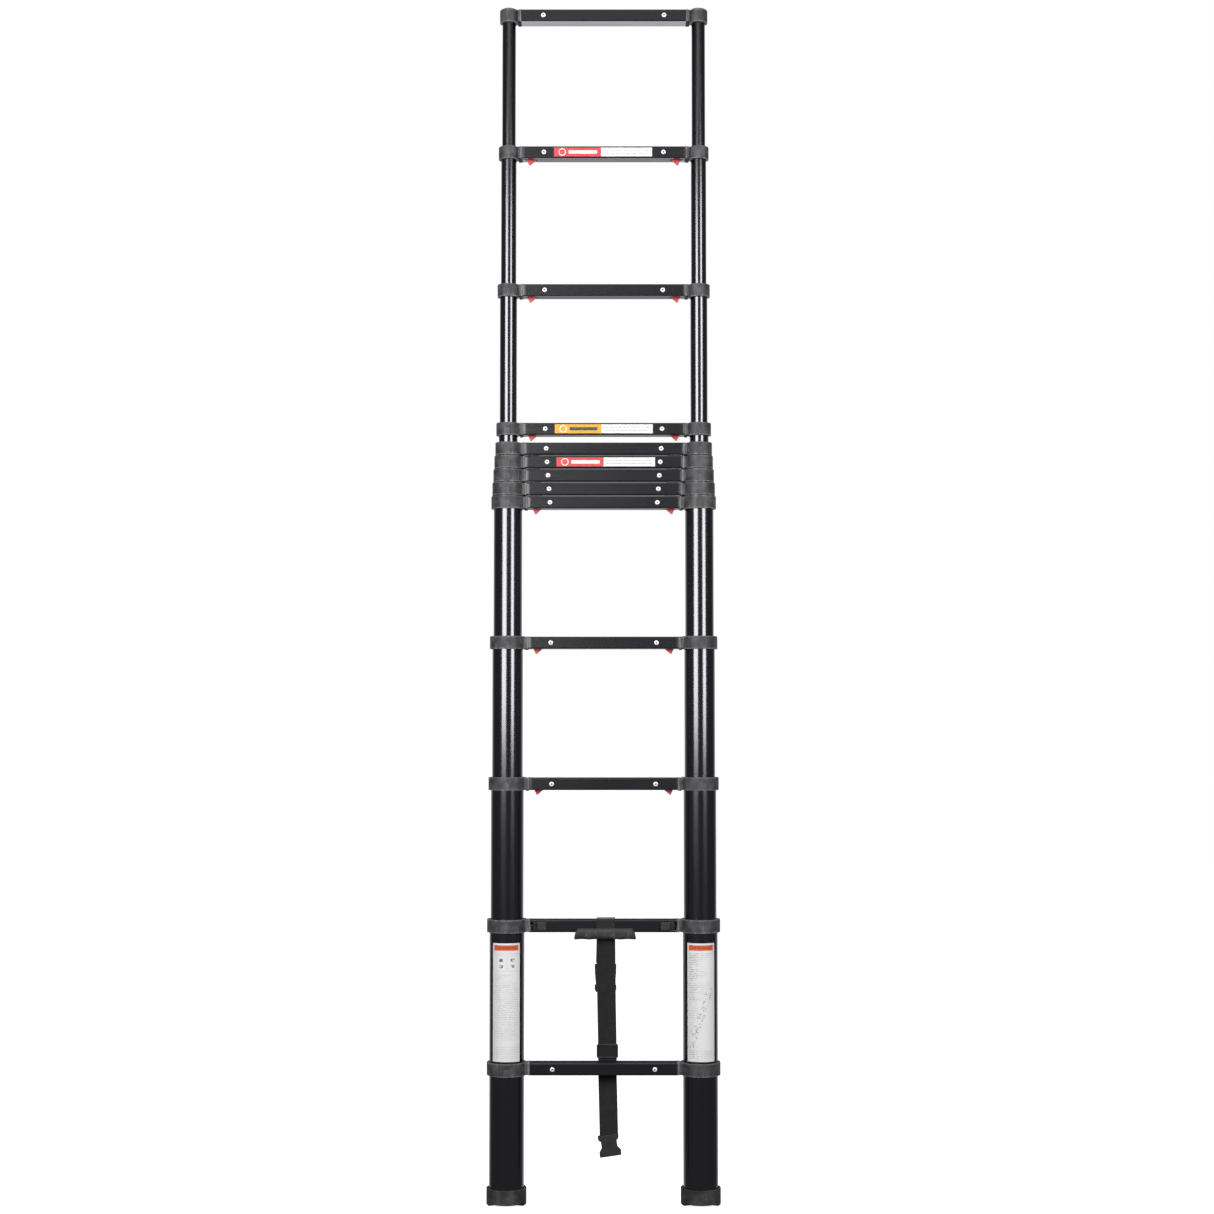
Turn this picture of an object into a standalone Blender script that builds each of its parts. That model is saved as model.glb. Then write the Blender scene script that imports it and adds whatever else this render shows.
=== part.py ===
"""Telescoping ladder: thirteen hollow rungs on twelve pairs of tubes that slide into each other.

Section 1 is the top pair of tubes and section 12 the base pair, which stands on rubber feet. Each
tube ends in a moulded collar whose shoulder plugs into its rung. Rungs 2 to 11 hold a release bar,
with a wedge under each end, that the rung below pushes in as the section comes down. Rung 12 holds
two thumb slides with their lock pins, and the carry strap hangs over it. Rung 13 is clamped half
way up the base tubes. The ladder stands part open: sections 5 to 8 are shut and section 4 nearly so.

Metres, +Z up, +Y to the back. The origin is on the floor, midway between the feet.
"""

import math

import bmesh
import bpy
from mathutils import Matrix, Vector

# The telescoping: distance from rung to rung when open and when shut, and the standing state.
BASE = 12
FIXED_RUNG = 13
PITCH_OPEN = 0.2925
PITCH_SHUT = 0.02825
OPEN_AT_REST = (1, 2, 3, 9, 10, 11)
PARTLY_OPEN = 4
PARTLY_OPEN_BY = 0.013
BASE_RUNG_TOP = 0.582
FIXED_RUNG_TOP = 0.2895

# Tubes: each is larger than the one inside it by its wall and a running clearance.
STILE_X = 0.200
TOP_TUBE_RADIUS = 0.01415
TOP_TUBE_WALL = 0.0012
WALL_STEP = 0.00004
TUBE_CLEARANCE = 0.00055
TUBE_LENGTH = 0.380
TUBE_SIDES = 20

# Rungs: a rounded box extrusion, 37 mm from front to back.
RUNG_DEPTH = 0.037
RUNG_HEIGHT = 0.0254
RUNG_WALL = 0.0016
RUNG_CORNER = 0.003
RUNG_INNER_CORNER = 0.0006
GAP = 0.0003

# Collars: a ring on the tube, a shoulder as deep as the rung and a spigot inside the rung's end.
COLLAR_WALL = 0.0053
COLLAR_ABOVE = 0.0012
COLLAR_HEIGHT = 0.0268
SHOULDER_ABOVE = 0.0006
SHOULDER_REACH = 0.0123
SPIGOT_LENGTH = 0.005
CAP_RISE = 0.0077
CAP_EDGE = -0.0007
CAP_STEPS = 4

# Release bar: a wedge under each end of a flat bar, through slots in the rung's underside.
WEDGE_FROM_END = 0.010
WEDGE_WIDTH = 0.0184
WEDGE_TIP_FROM_SIDE = 0.0052
WEDGE_OUT = 0.0106
RELEASE_TRAVEL = 0.0104
RELEASE_DEPTH = 0.009
BAR_THICKNESS = 0.003
BAR_OVERHANG = 0.0044
SLOT_MARGIN_X = 0.0028
SLOT_MARGIN_Y = 0.0005

# Thumb slides of rung 12, measured inward from the rung's end, and their lock pins.
WINDOW_FROM, WINDOW_TO = 0.002, 0.035
WINDOW_HEIGHT = 0.017
CARRIAGE_FROM, CARRIAGE_TO = 0.0055, 0.026
THUMB_FROM, THUMB_TO = 0.015, 0.0343
THUMB_PROUD = 0.0042
CARRIAGE_BACK = -0.0042
PIN_RADIUS = 0.004
PIN_BORE_RADIUS = 0.0044

FOOT_HEIGHT = 0.035
FOOT_FLOOR = 0.006
FOOT_ROUND = 0.003

# Carry strap: the webbing's width and thickness, and what hangs on it.
STRAP_WIDTH = 0.0385
STRAP_THICKNESS = 0.002
STRAP_CLEAR = 0.0005
STRAP_FOLD = 0.0015
STRAP_X = 0.0047
HANDLE_X = 0.003
HANDLE_LOW, HANDLE_HIGH = 0.5436, 0.5658
HANDLE_FRONT, HANDLE_BACK = -0.041, -0.0188
HANDLE_WIDTH_LOW, HANDLE_WIDTH_HIGH = 0.130, 0.1175
ADJUSTER_SIZE = (0.0446, 0.007, 0.031)
ABOVE_FIXED_RUNG = 3
ADJUSTER_ALONG = 0.37

# The strap's side-release buckle: its socket hangs on the lower end, its plug on the upper end.
SOCKET_AT = (0.0105, 0.0205, 0.1160)
SOCKET_TILT = -8
SOCKET_HALF_WIDTH, SOCKET_HALF_DEPTH = 0.0215, 0.006
SOCKET_LOW, SOCKET_HIGH = -0.0225, 0.0215
MOUTH_HALF_WIDTH, MOUTH_HALF_DEPTH, MOUTH_TOP = 0.018, 0.0035, 0.010
PLUG_AT = (0.0027, 0.0190, 0.4585)
PLUG_HALF_WIDTH, PLUG_HALF_DEPTH = 0.0225, 0.003
PLUG_TOP, PLUG_BAR_LOW = 0.030, 0.014
TONGUE_HALF_WIDTH, TONGUE_LOW = 0.005, -0.022
PRONG_LOW, PRONG_WIDTH = -0.030, 0.007
CUT_PAST = 0.01


def tube_wall(section):
    return TOP_TUBE_WALL + WALL_STEP * (section - 1)


def tube_radius(section):
    """The outer radius: the top tube's, plus a clearance and a wall for each tube around it."""
    steps = range(2, section + 1)
    return TOP_TUBE_RADIUS + sum(TUBE_CLEARANCE + tube_wall(step) for step in steps)


def rung_top(rung):
    """The height of a rung's top face as the ladder stands."""
    if rung == FIXED_RUNG:
        return FIXED_RUNG_TOP
    height = BASE_RUNG_TOP
    for section in range(rung, BASE):
        height += PITCH_OPEN if section in OPEN_AT_REST else PITCH_SHUT
        if section == PARTLY_OPEN:
            height += PARTLY_OPEN_BY
    return height


def rung_reach(rung):
    """Half the length of a rung's extrusion: its end stands clear of the tube by the shoulder."""
    return STILE_X - tube_radius(min(rung, BASE)) - SHOULDER_REACH


def finish(name, colour, roughness, metallic=0.0):
    material = bpy.data.materials.new(name)
    material.use_nodes = True
    shader = material.node_tree.nodes["Principled BSDF"]
    shader.inputs["Base Color"].default_value = (*colour, 1.0)
    shader.inputs["Roughness"].default_value = roughness
    shader.inputs["Metallic"].default_value = metallic
    return material


def mesh_of(name, shape):
    """A mesh from a finished bmesh, with its faces turned outwards."""
    bmesh.ops.recalc_face_normals(shape, faces=shape.faces)
    mesh = bpy.data.meshes.new(name)
    shape.to_mesh(mesh)
    shape.free()
    return mesh


def combined(mesh, tool, operation):
    """The mesh joined to, or cut by, a tool mesh, both in the same coordinates."""
    scene = bpy.context.scene.collection
    body = bpy.data.objects.new("body", mesh)
    other = bpy.data.objects.new("other", tool)
    scene.objects.link(body)
    scene.objects.link(other)
    modifier = body.modifiers.new("combine", "BOOLEAN")
    modifier.operation = operation
    modifier.solver = "EXACT"
    modifier.object = other
    graph = bpy.context.evaluated_depsgraph_get()
    result = bpy.data.meshes.new_from_object(body.evaluated_get(graph))
    bpy.data.objects.remove(body)
    bpy.data.objects.remove(other)
    return result


def place(name, mesh, material, parent, at=(0, 0, 0), turned_round=False):
    """Puts a mesh in the scene as one named piece; turned_round is for the right-hand copy."""
    mesh.name = name
    mesh.materials.clear()
    mesh.materials.append(material)
    mesh.shade_smooth()
    mesh.set_sharp_from_angle(angle=math.radians(32))
    piece = bpy.data.objects.new(name, mesh)
    bpy.context.scene.collection.objects.link(piece)
    piece.parent = parent
    piece.location = at
    piece.rotation_euler.z = math.pi if turned_round else 0.0
    return piece


def place_pair(name, mesh, material, parent, height=0.0):
    """The left piece at -X, and its copy turned half round for the right-hand side."""
    place(f"{name}_left", mesh, material, parent, (-STILE_X, 0, height))
    place(f"{name}_right", mesh, material, parent, (STILE_X, 0, height), turned_round=True)


def frame_at(name, height):
    """An empty on the ladder's centre line, which carries one section's pieces."""
    empty = bpy.data.objects.new(name, None)
    empty.location.z = height
    bpy.context.scene.collection.objects.link(empty)
    return empty


def turned(profile, sides=TUBE_SIDES):
    """A closed outline of (radius, height) points turned about Z; radius 0 makes a pole."""
    shape = bmesh.new()
    rings = []
    for radius, height in profile:
        count = sides if radius > 0 else 1
        angles = [2 * math.pi * i / sides for i in range(count)]
        points = [(radius * math.cos(a), radius * math.sin(a), height) for a in angles]
        rings.append([shape.verts.new(point) for point in points])
    for lower, upper in zip(rings, rings[1:] + rings[:1]):
        for i in range(sides):
            loop = [lower[i % len(lower)], lower[(i + 1) % sides % len(lower)]]
            loop += [upper[(i + 1) % sides % len(upper)], upper[i % len(upper)]]
            corners = list(dict.fromkeys(loop))
            if len(corners) > 2:
                shape.faces.new(corners)
    return mesh_of("turned", shape)


def extruded(outline, low, high, across):
    """A flat outline extruded from low to high along X, Y or Z; its points are the other two."""
    shape = bmesh.new()
    points = []
    for first, second in outline:
        point = [first, second]
        point.insert("XYZ".index(across), low)
        points.append(shape.verts.new(point))
    face = shape.faces.new(points)
    moved = bmesh.ops.extrude_face_region(shape, geom=[face])["geom"]
    along = Vector([high - low if axis == across else 0.0 for axis in "XYZ"])
    corners = [item for item in moved if isinstance(item, bmesh.types.BMVert)]
    bmesh.ops.translate(shape, verts=corners, vec=along)
    return mesh_of("extruded", shape)


def block(low, high):
    """A plain block between two corners."""
    outline = [(low[0], low[1]), (high[0], low[1]), (high[0], high[1]), (low[0], high[1])]
    return extruded(outline, low[2], high[2], "Z")


def rod_along_x(radius, start, end, height, sides=12):
    angles = [2 * math.pi * (i + 0.5) / sides for i in range(sides)]
    outline = [(radius * math.cos(a), height + radius * math.sin(a)) for a in angles]
    return extruded(outline, start, end, "X")


def rounded_rectangle(width, height, radius, steps=3):
    """Points round a rectangle centred on the origin, with a quarter circle at each corner."""
    points = []
    for corner, (side_x, side_y) in enumerate([(1, 1), (-1, 1), (-1, -1), (1, -1)]):
        centre_x = side_x * (width / 2 - radius)
        centre_y = side_y * (height / 2 - radius)
        for step in range(steps):
            angle = math.pi / 2 * (corner + step / (steps - 1))
            points.append((centre_x + radius * math.cos(angle), centre_y + radius * math.sin(angle)))
    return points


# Tubes, collars and feet. A tube's own frame is on its axis, at the height of its rung's top face.


def shoulder(radius, root):
    """The collar's arm towards the rung: it starts at the root radius, inside the collar's wall,
    fills the space to the rung's end and steps down to a spigot that plugs into the rung."""
    half = RUNG_DEPTH / 2
    steps = TUBE_SIDES // 4
    angles = [2 * math.pi * i / TUBE_SIDES for i in range(-steps, steps + 1)]
    arc = [(root * math.cos(a), root * math.sin(a)) for a in angles]
    if root > half:
        arc = [point for point in arc if abs(point[1]) < half]
    end = radius + SHOULDER_REACH - GAP
    start = arc[-1][0]
    outline = arc + [(start, half), (end, half), (end, -half), (start, -half)]
    if root <= half:
        outline = arc + [(0, half), (end, half), (end, -half), (0, -half)]
    arm = extruded(outline, -RUNG_HEIGHT, SHOULDER_ABOVE, "Z")
    side = half - RUNG_WALL - GAP
    low = (end - RUNG_WALL, -side, -RUNG_HEIGHT + RUNG_WALL + GAP)
    high = (end + GAP + SPIGOT_LENGTH, side, -RUNG_WALL - GAP)
    return combined(arm, block(low, high), "UNION")


def collar_profile(radius, bore):
    """The ring of a collar, from its bore outwards and back."""
    outer = radius + COLLAR_WALL
    low = COLLAR_ABOVE - COLLAR_HEIGHT
    return [(bore, low), (outer, low), (outer, COLLAR_ABOVE), (bore, COLLAR_ABOVE)]


def tube(section, length):
    """A tube with its collar on top: the bore runs right through."""
    radius = tube_radius(section)
    bore = radius - tube_wall(section)
    ring = collar_profile(radius, bore)
    profile = [(bore, -length), (radius, -length), (radius, ring[0][1]), *ring[1:]]
    arm = shoulder(radius, radius - TOP_TUBE_WALL / 2)
    return combined(turned(profile), arm, "UNION")


def top_tube():
    """The smallest tube: its collar is a cap, closed by a low dome."""
    radius = tube_radius(1)
    bore = radius - tube_wall(1)
    outer = radius + COLLAR_WALL
    low = COLLAR_ABOVE - COLLAR_HEIGHT
    dome = []
    for step in range(CAP_STEPS + 1):
        angle = math.pi / 2 * step / CAP_STEPS
        across = outer * math.cos(angle) if step < CAP_STEPS else 0.0
        dome.append((across, CAP_EDGE + CAP_RISE * math.sin(angle)))
    inside = [(0.0, CAP_EDGE - RUNG_WALL), (bore, CAP_EDGE - RUNG_WALL)]
    profile = [(bore, -TUBE_LENGTH), (radius, -TUBE_LENGTH), (radius, low), (outer, low)]
    arm = shoulder(radius, radius - TOP_TUBE_WALL / 2)
    return combined(turned(profile + dome + inside), arm, "UNION")


def base_tube():
    """The outer tube, down to the foot, with the lock pin's bore through wall and shoulder."""
    length = BASE_RUNG_TOP - FOOT_FLOOR - GAP
    radius = tube_radius(BASE)
    end = radius + SHOULDER_REACH + 2 * SPIGOT_LENGTH
    start = radius - 3 * tube_wall(BASE)
    bore = rod_along_x(PIN_BORE_RADIUS, start, end, -RUNG_HEIGHT / 2)
    return combined(tube(BASE, length), bore, "DIFFERENCE")


def clamp_collar():
    """The fixed rung's collar, which grips the base tube from outside."""
    radius = tube_radius(BASE)
    ring = turned(collar_profile(radius, radius + GAP))
    return combined(ring, shoulder(radius, radius + COLLAR_WALL / 2), "UNION")


def foot():
    """A rubber cup round the base tube, with a flat sole and a rounded lower edge."""
    inner = tube_radius(BASE) + GAP
    outer = tube_radius(BASE) + COLLAR_WALL
    profile = [(0.0, 0.0), (outer - FOOT_ROUND, 0.0), (outer, FOOT_ROUND)]
    profile += [(outer, FOOT_HEIGHT), (inner, FOOT_HEIGHT), (inner, FOOT_FLOOR), (0.0, FOOT_FLOOR)]
    return turned(profile)


# Rungs. A rung's own frame is on the ladder's centre line, at the height of its top face.


def extrusion(rung):
    """The hollow rung: two rounded outlines, one inside the other, joined at both ends."""
    reach = rung_reach(rung)
    outer = rounded_rectangle(RUNG_DEPTH, RUNG_HEIGHT, RUNG_CORNER)
    inner_size = (RUNG_DEPTH - 2 * RUNG_WALL, RUNG_HEIGHT - 2 * RUNG_WALL)
    inner = rounded_rectangle(*inner_size, RUNG_INNER_CORNER)
    shape = bmesh.new()
    loops = []
    for x, outline in ((-reach, outer), (reach, outer), (reach, inner), (-reach, inner)):
        loops.append([shape.verts.new((x, y, z - RUNG_HEIGHT / 2)) for y, z in outline])
    for here, there in zip(loops, loops[1:] + loops[:1]):
        for i in range(len(here)):
            following = (i + 1) % len(here)
            shape.faces.new((here[i], here[following], there[following], there[i]))
    return mesh_of("extrusion", shape)


def with_slots(mesh, rung):
    """Cuts the two slots that the release bar's wedges come out of."""
    outer_end = rung_reach(rung) - WEDGE_FROM_END + SLOT_MARGIN_X
    inner_end = rung_reach(rung) - WEDGE_FROM_END - WEDGE_WIDTH - SLOT_MARGIN_X
    half = RELEASE_DEPTH / 2 + SLOT_MARGIN_Y
    for near, far in ((-outer_end, -inner_end), (inner_end, outer_end)):
        low = (near, -half, -RUNG_HEIGHT - RUNG_WALL)
        high = (far, half, -RUNG_HEIGHT + 2 * RUNG_WALL)
        mesh = combined(mesh, block(low, high), "DIFFERENCE")
    return mesh


def with_windows(mesh):
    """Cuts the two windows in the front wall that the thumb slides move in."""
    reach = rung_reach(BASE)
    front, behind = -RUNG_DEPTH / 2 - RUNG_WALL, -RUNG_DEPTH / 2 + 2 * RUNG_WALL
    low_z, high_z = (-RUNG_HEIGHT - WINDOW_HEIGHT) / 2, (-RUNG_HEIGHT + WINDOW_HEIGHT) / 2
    outer_end, inner_end = reach - WINDOW_FROM, reach - WINDOW_TO
    for near, far in ((-outer_end, -inner_end), (inner_end, outer_end)):
        mesh = combined(mesh, block((near, front, low_z), (far, behind, high_z)), "DIFFERENCE")
    return mesh


def release_bar(rung):
    """A flat bar inside the rung with a wedge under each end, out of the rung's underside."""
    outer = rung_reach(rung) - WEDGE_FROM_END
    tip = outer - WEDGE_TIP_FROM_SIDE
    inner = outer - WEDGE_WIDTH
    bar_low = RUNG_WALL + GAP
    bar_high = bar_low + BAR_THICKNESS
    bar_end = outer + BAR_OVERHANG
    right = [(inner, bar_low), (inner, 0.0), (tip, -WEDGE_OUT), (outer, 0.0), (outer, bar_low)]
    right += [(bar_end, bar_low), (bar_end, bar_high)]
    left = [(-x, z) for x, z in reversed(right)]
    outline = [(x, z - RUNG_HEIGHT) for x, z in right + left]
    return extruded(outline, -RELEASE_DEPTH / 2, RELEASE_DEPTH / 2, "Y")


# Thumb slides and lock pins, in the base tube's frame: the rung lies towards +X.


def thumb_slide():
    """The carriage behind the window, its neck through it and the thumb block on the front."""
    end = tube_radius(BASE) + SHOULDER_REACH
    face = -RUNG_DEPTH / 2
    carriage_from, carriage_to = end + CARRIAGE_FROM, end + CARRIAGE_TO
    thumb_from, thumb_to = end + THUMB_FROM, end + THUMB_TO
    outline = [(carriage_from, CARRIAGE_BACK), (carriage_to, CARRIAGE_BACK)]
    outline += [(carriage_to, face - GAP), (thumb_to, face - GAP), (thumb_to, face - THUMB_PROUD)]
    outline += [(thumb_from, face - THUMB_PROUD), (thumb_from, face + GAP), (carriage_from, face + GAP)]
    half = WINDOW_HEIGHT / 2 - GAP
    return extruded(outline, -RUNG_HEIGHT / 2 - half, -RUNG_HEIGHT / 2 + half, "Z")


def lock_pin():
    """The pin that reaches from the thumb slide to just clear of the tube of section 11."""
    start = tube_radius(BASE - 1) + GAP
    end = tube_radius(BASE) + SHOULDER_REACH + CARRIAGE_FROM - GAP
    return rod_along_x(PIN_RADIUS, start, end, -RUNG_HEIGHT / 2)


# The carry strap and what hangs on it, in the ladder's own frame.


def strap_route():
    """The webbing's centre line: up from the socket behind the fixed rung, slanting to the front of
    rung 12, over its top and down its back, as (x, y, z) points."""
    clear = RUNG_DEPTH / 2 + STRAP_CLEAR + STRAP_THICKNESS / 2
    over = BASE_RUNG_TOP + STRAP_CLEAR + STRAP_THICKNESS / 2
    fold = STRAP_FOLD
    return [
        (0.0107, clear + STRAP_CLEAR, 0.1415),
        (0.0095, clear + STRAP_CLEAR, 0.200),
        (0.0079, clear, 0.2640),
        (0.0080, clear, 0.2905),
        (0.0074, clear - 0.0080, 0.3400),
        (0.0060, 0.0, 0.4165),
        (STRAP_X, -clear, 0.5410),
        (STRAP_X, -clear, over - fold),
        (STRAP_X, -clear + fold, over),
        (STRAP_X, clear - fold, over),
        (STRAP_X, clear, over - fold),
        (STRAP_X, clear, 0.5410),
        (0.0034, clear - 0.0010, 0.4900),
    ]


def ribbon(route, width, thickness):
    """A flat strip whose width lies along X, with square edges and closed ends."""
    shape = bmesh.new()
    points = [Vector(point) for point in route]
    rows = []
    for i, point in enumerate(points):
        before, after = points[max(i - 1, 0)], points[min(i + 1, len(points) - 1)]
        along = after - before
        away = Vector((0.0, along.z, -along.y)).normalized() * thickness / 2
        side = Vector((width / 2, 0.0, 0.0))
        corners = (point - side - away, point + side - away, point + side + away, point - side + away)
        rows.append([shape.verts.new(corner) for corner in corners])
    for here, there in zip(rows, rows[1:]):
        for i in range(4):
            following = (i + 1) % 4
            shape.faces.new((here[i], here[following], there[following], there[i]))
    shape.faces.new(rows[0])
    shape.faces.new(rows[-1])
    return mesh_of("ribbon", shape)


def carry_handle():
    """A moulded grip with sloping ends, and a channel in its back for the webbing."""
    low, high = HANDLE_WIDTH_LOW / 2, HANDLE_WIDTH_HIGH / 2
    outline = [(-low, HANDLE_LOW), (low, HANDLE_LOW), (high, HANDLE_HIGH), (-high, HANDLE_HIGH)]
    outline = [(x + HANDLE_X, z) for x, z in outline]
    grip = extruded(outline, HANDLE_FRONT, HANDLE_BACK, "Y")
    half = STRAP_WIDTH / 2 + 2 * STRAP_CLEAR
    channel_floor = HANDLE_BACK - STRAP_THICKNESS - 3 * GAP
    low = (STRAP_X - half, channel_floor, HANDLE_LOW - CUT_PAST)
    channel = block(low, (STRAP_X + half, 0.0, HANDLE_HIGH + CUT_PAST))
    return combined(grip, channel, "DIFFERENCE")


def strap_adjuster():
    """The slider on the webbing: a flat sleeve with the strap through it. Its own Z runs along the
    webbing."""
    opening_depth = STRAP_THICKNESS + 2 * STRAP_CLEAR
    inner = (STRAP_WIDTH + 4 * STRAP_CLEAR, opening_depth, ADJUSTER_SIZE[2] + CUT_PAST)
    sizes = [[side / 2 for side in size] for size in (ADJUSTER_SIZE, inner)]
    sleeve, opening = (block([-side for side in half], half) for half in sizes)
    return combined(sleeve, opening, "DIFFERENCE")


def buckle_socket():
    """The buckle's female half, open at its lower end. Its own Z runs up to the strap."""
    low = (-SOCKET_HALF_WIDTH, -SOCKET_HALF_DEPTH, SOCKET_LOW)
    body = block(low, (SOCKET_HALF_WIDTH, SOCKET_HALF_DEPTH, SOCKET_HIGH))
    low = (-MOUTH_HALF_WIDTH, -MOUTH_HALF_DEPTH, SOCKET_LOW - CUT_PAST)
    mouth = block(low, (MOUTH_HALF_WIDTH, MOUTH_HALF_DEPTH, MOUTH_TOP))
    return combined(body, mouth, "DIFFERENCE")


def buckle_plug():
    """The buckle's male half: a bar with a middle tongue and two springy side prongs below it."""
    side = PLUG_HALF_WIDTH
    shoulder_z = PRONG_LOW + PRONG_WIDTH
    half = [(side, PLUG_TOP), (side, shoulder_z), (side - PRONG_WIDTH / 2, PRONG_LOW)]
    half += [(side - PRONG_WIDTH, shoulder_z), (side - PRONG_WIDTH, PLUG_BAR_LOW)]
    half += [(TONGUE_HALF_WIDTH, PLUG_BAR_LOW), (TONGUE_HALF_WIDTH, TONGUE_LOW)]
    outline = half + [(-x, z) for x, z in reversed(half)]
    return extruded(outline, -PLUG_HALF_DEPTH, PLUG_HALF_DEPTH, "Y")


def build():
    for thing in list(bpy.data.objects):
        bpy.data.objects.remove(thing)
    black_tube = finish("gloss_black_aluminium", (0.02, 0.02, 0.022), 0.2, 0.6)
    black_rung = finish("satin_black_aluminium", (0.025, 0.026, 0.03), 0.42, 0.6)
    moulded = finish("dark_grey_nylon", (0.045, 0.045, 0.048), 0.55)
    red = finish("red_plastic", (0.75, 0.05, 0.035), 0.4)
    rubber = finish("black_rubber", (0.035, 0.035, 0.037), 0.75)
    steel = finish("steel", (0.6, 0.6, 0.62), 0.3, 1.0)
    webbing = finish("black_webbing", (0.015, 0.015, 0.016), 0.85)

    for section in range(1, BASE):
        frame = frame_at(f"section_{section:02d}", rung_top(section))
        stile = top_tube() if section == 1 else tube(section, TUBE_LENGTH)
        place_pair(f"tube_{section:02d}", stile, black_tube, frame)
        rung = extrusion(section)
        if section > 1:
            rung = with_slots(rung, section)
            pushed_in = section not in (*OPEN_AT_REST, PARTLY_OPEN)
            rise = RELEASE_TRAVEL if pushed_in else 0.0
            place(f"release_{section:02d}", release_bar(section), red, frame, (0, 0, rise))
        place(f"rung_{section:02d}", rung, black_rung, frame)

    base = frame_at("base", BASE_RUNG_TOP)
    place_pair(f"tube_{BASE}", base_tube(), black_tube, base)
    place(f"rung_{BASE}", with_windows(extrusion(BASE)), black_rung, base)
    below = FIXED_RUNG_TOP - BASE_RUNG_TOP
    place(f"rung_{FIXED_RUNG}", extrusion(FIXED_RUNG), black_rung, base, (0, 0, below))
    place_pair(f"collar_{FIXED_RUNG}", clamp_collar(), moulded, base, below)
    place_pair("foot", foot(), rubber, base, -BASE_RUNG_TOP)

    slides = thumb_slide()
    mirrored = slides.copy()
    mirrored.transform(Matrix.Scale(-1, 4, (1, 0, 0)))
    mirrored.flip_normals()
    place("thumb_slide_left", slides, moulded, base, (-STILE_X, 0, 0))
    place("thumb_slide_right", mirrored, moulded, base, (STILE_X, 0, 0))
    place_pair("lock_pin", lock_pin(), steel, base)

    strap = frame_at("strap", 0.0)
    place("carry_strap", ribbon(strap_route(), STRAP_WIDTH, STRAP_THICKNESS), webbing, strap)
    place("carry_handle", carry_handle(), moulded, strap)
    lower, upper = (Vector(point) for point in strap_route()[ABOVE_FIXED_RUNG:ABOVE_FIXED_RUNG + 2])
    on_strap = lower.lerp(upper, ADJUSTER_ALONG)
    adjuster = place("strap_adjuster", strap_adjuster(), moulded, strap, on_strap)
    adjuster.rotation_euler.x = math.atan2(lower.y - upper.y, upper.z - lower.z)
    socket = place("buckle_socket", buckle_socket(), moulded, strap, SOCKET_AT)
    socket.rotation_euler.y = math.radians(SOCKET_TILT)
    place("buckle_plug", buckle_plug(), moulded, strap, PLUG_AT)


build()
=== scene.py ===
import math

import bpy
import numpy as np
from mathutils import Matrix, Vector


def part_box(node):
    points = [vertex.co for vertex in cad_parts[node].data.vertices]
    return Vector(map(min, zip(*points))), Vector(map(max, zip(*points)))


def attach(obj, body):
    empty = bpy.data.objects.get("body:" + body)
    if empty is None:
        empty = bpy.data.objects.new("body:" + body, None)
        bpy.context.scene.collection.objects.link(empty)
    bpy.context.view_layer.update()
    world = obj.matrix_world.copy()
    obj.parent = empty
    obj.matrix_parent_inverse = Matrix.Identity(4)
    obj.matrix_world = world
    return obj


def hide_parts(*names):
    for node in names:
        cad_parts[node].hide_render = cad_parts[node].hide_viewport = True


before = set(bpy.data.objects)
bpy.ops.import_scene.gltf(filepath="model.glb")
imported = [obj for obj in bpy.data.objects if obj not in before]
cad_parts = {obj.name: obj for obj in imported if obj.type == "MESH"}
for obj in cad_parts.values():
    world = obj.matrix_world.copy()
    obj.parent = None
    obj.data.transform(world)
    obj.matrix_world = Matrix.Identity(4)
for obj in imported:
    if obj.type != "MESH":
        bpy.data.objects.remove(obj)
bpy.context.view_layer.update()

# The studio: white paper under and behind the ladder, a soft box overhead, a dim one high in front,
# and a tall one on each side of the camera, for the two pale streaks down every tube. The room that
# the gloss mirrors is dark, with a wall behind that is bright low down and grey at its sides.

CAMERA_PLACE = (0.0070, -4.334, 1.0084)
CAMERA_PITCH = 92.92
CAMERA_LENS = 61.66
FLOOR_SIZE = 60.0
FLOOR_GLOW = 0.87
FLOOR_WHITE = (0.80, 0.80, 0.80, 1)
FLOOR_WHITER = (0.84, 0.84, 0.84, 1)
ROOM_DARK = (0.12, 0.12, 0.132, 1)
ROOM_BRIGHT = (2.60, 2.60, 2.76, 1)
WALL_MIDDLE, WALL_ASIDE = 0.12, 0.20
WHITE = (1.0, 1.0, 1.0, 1)


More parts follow.
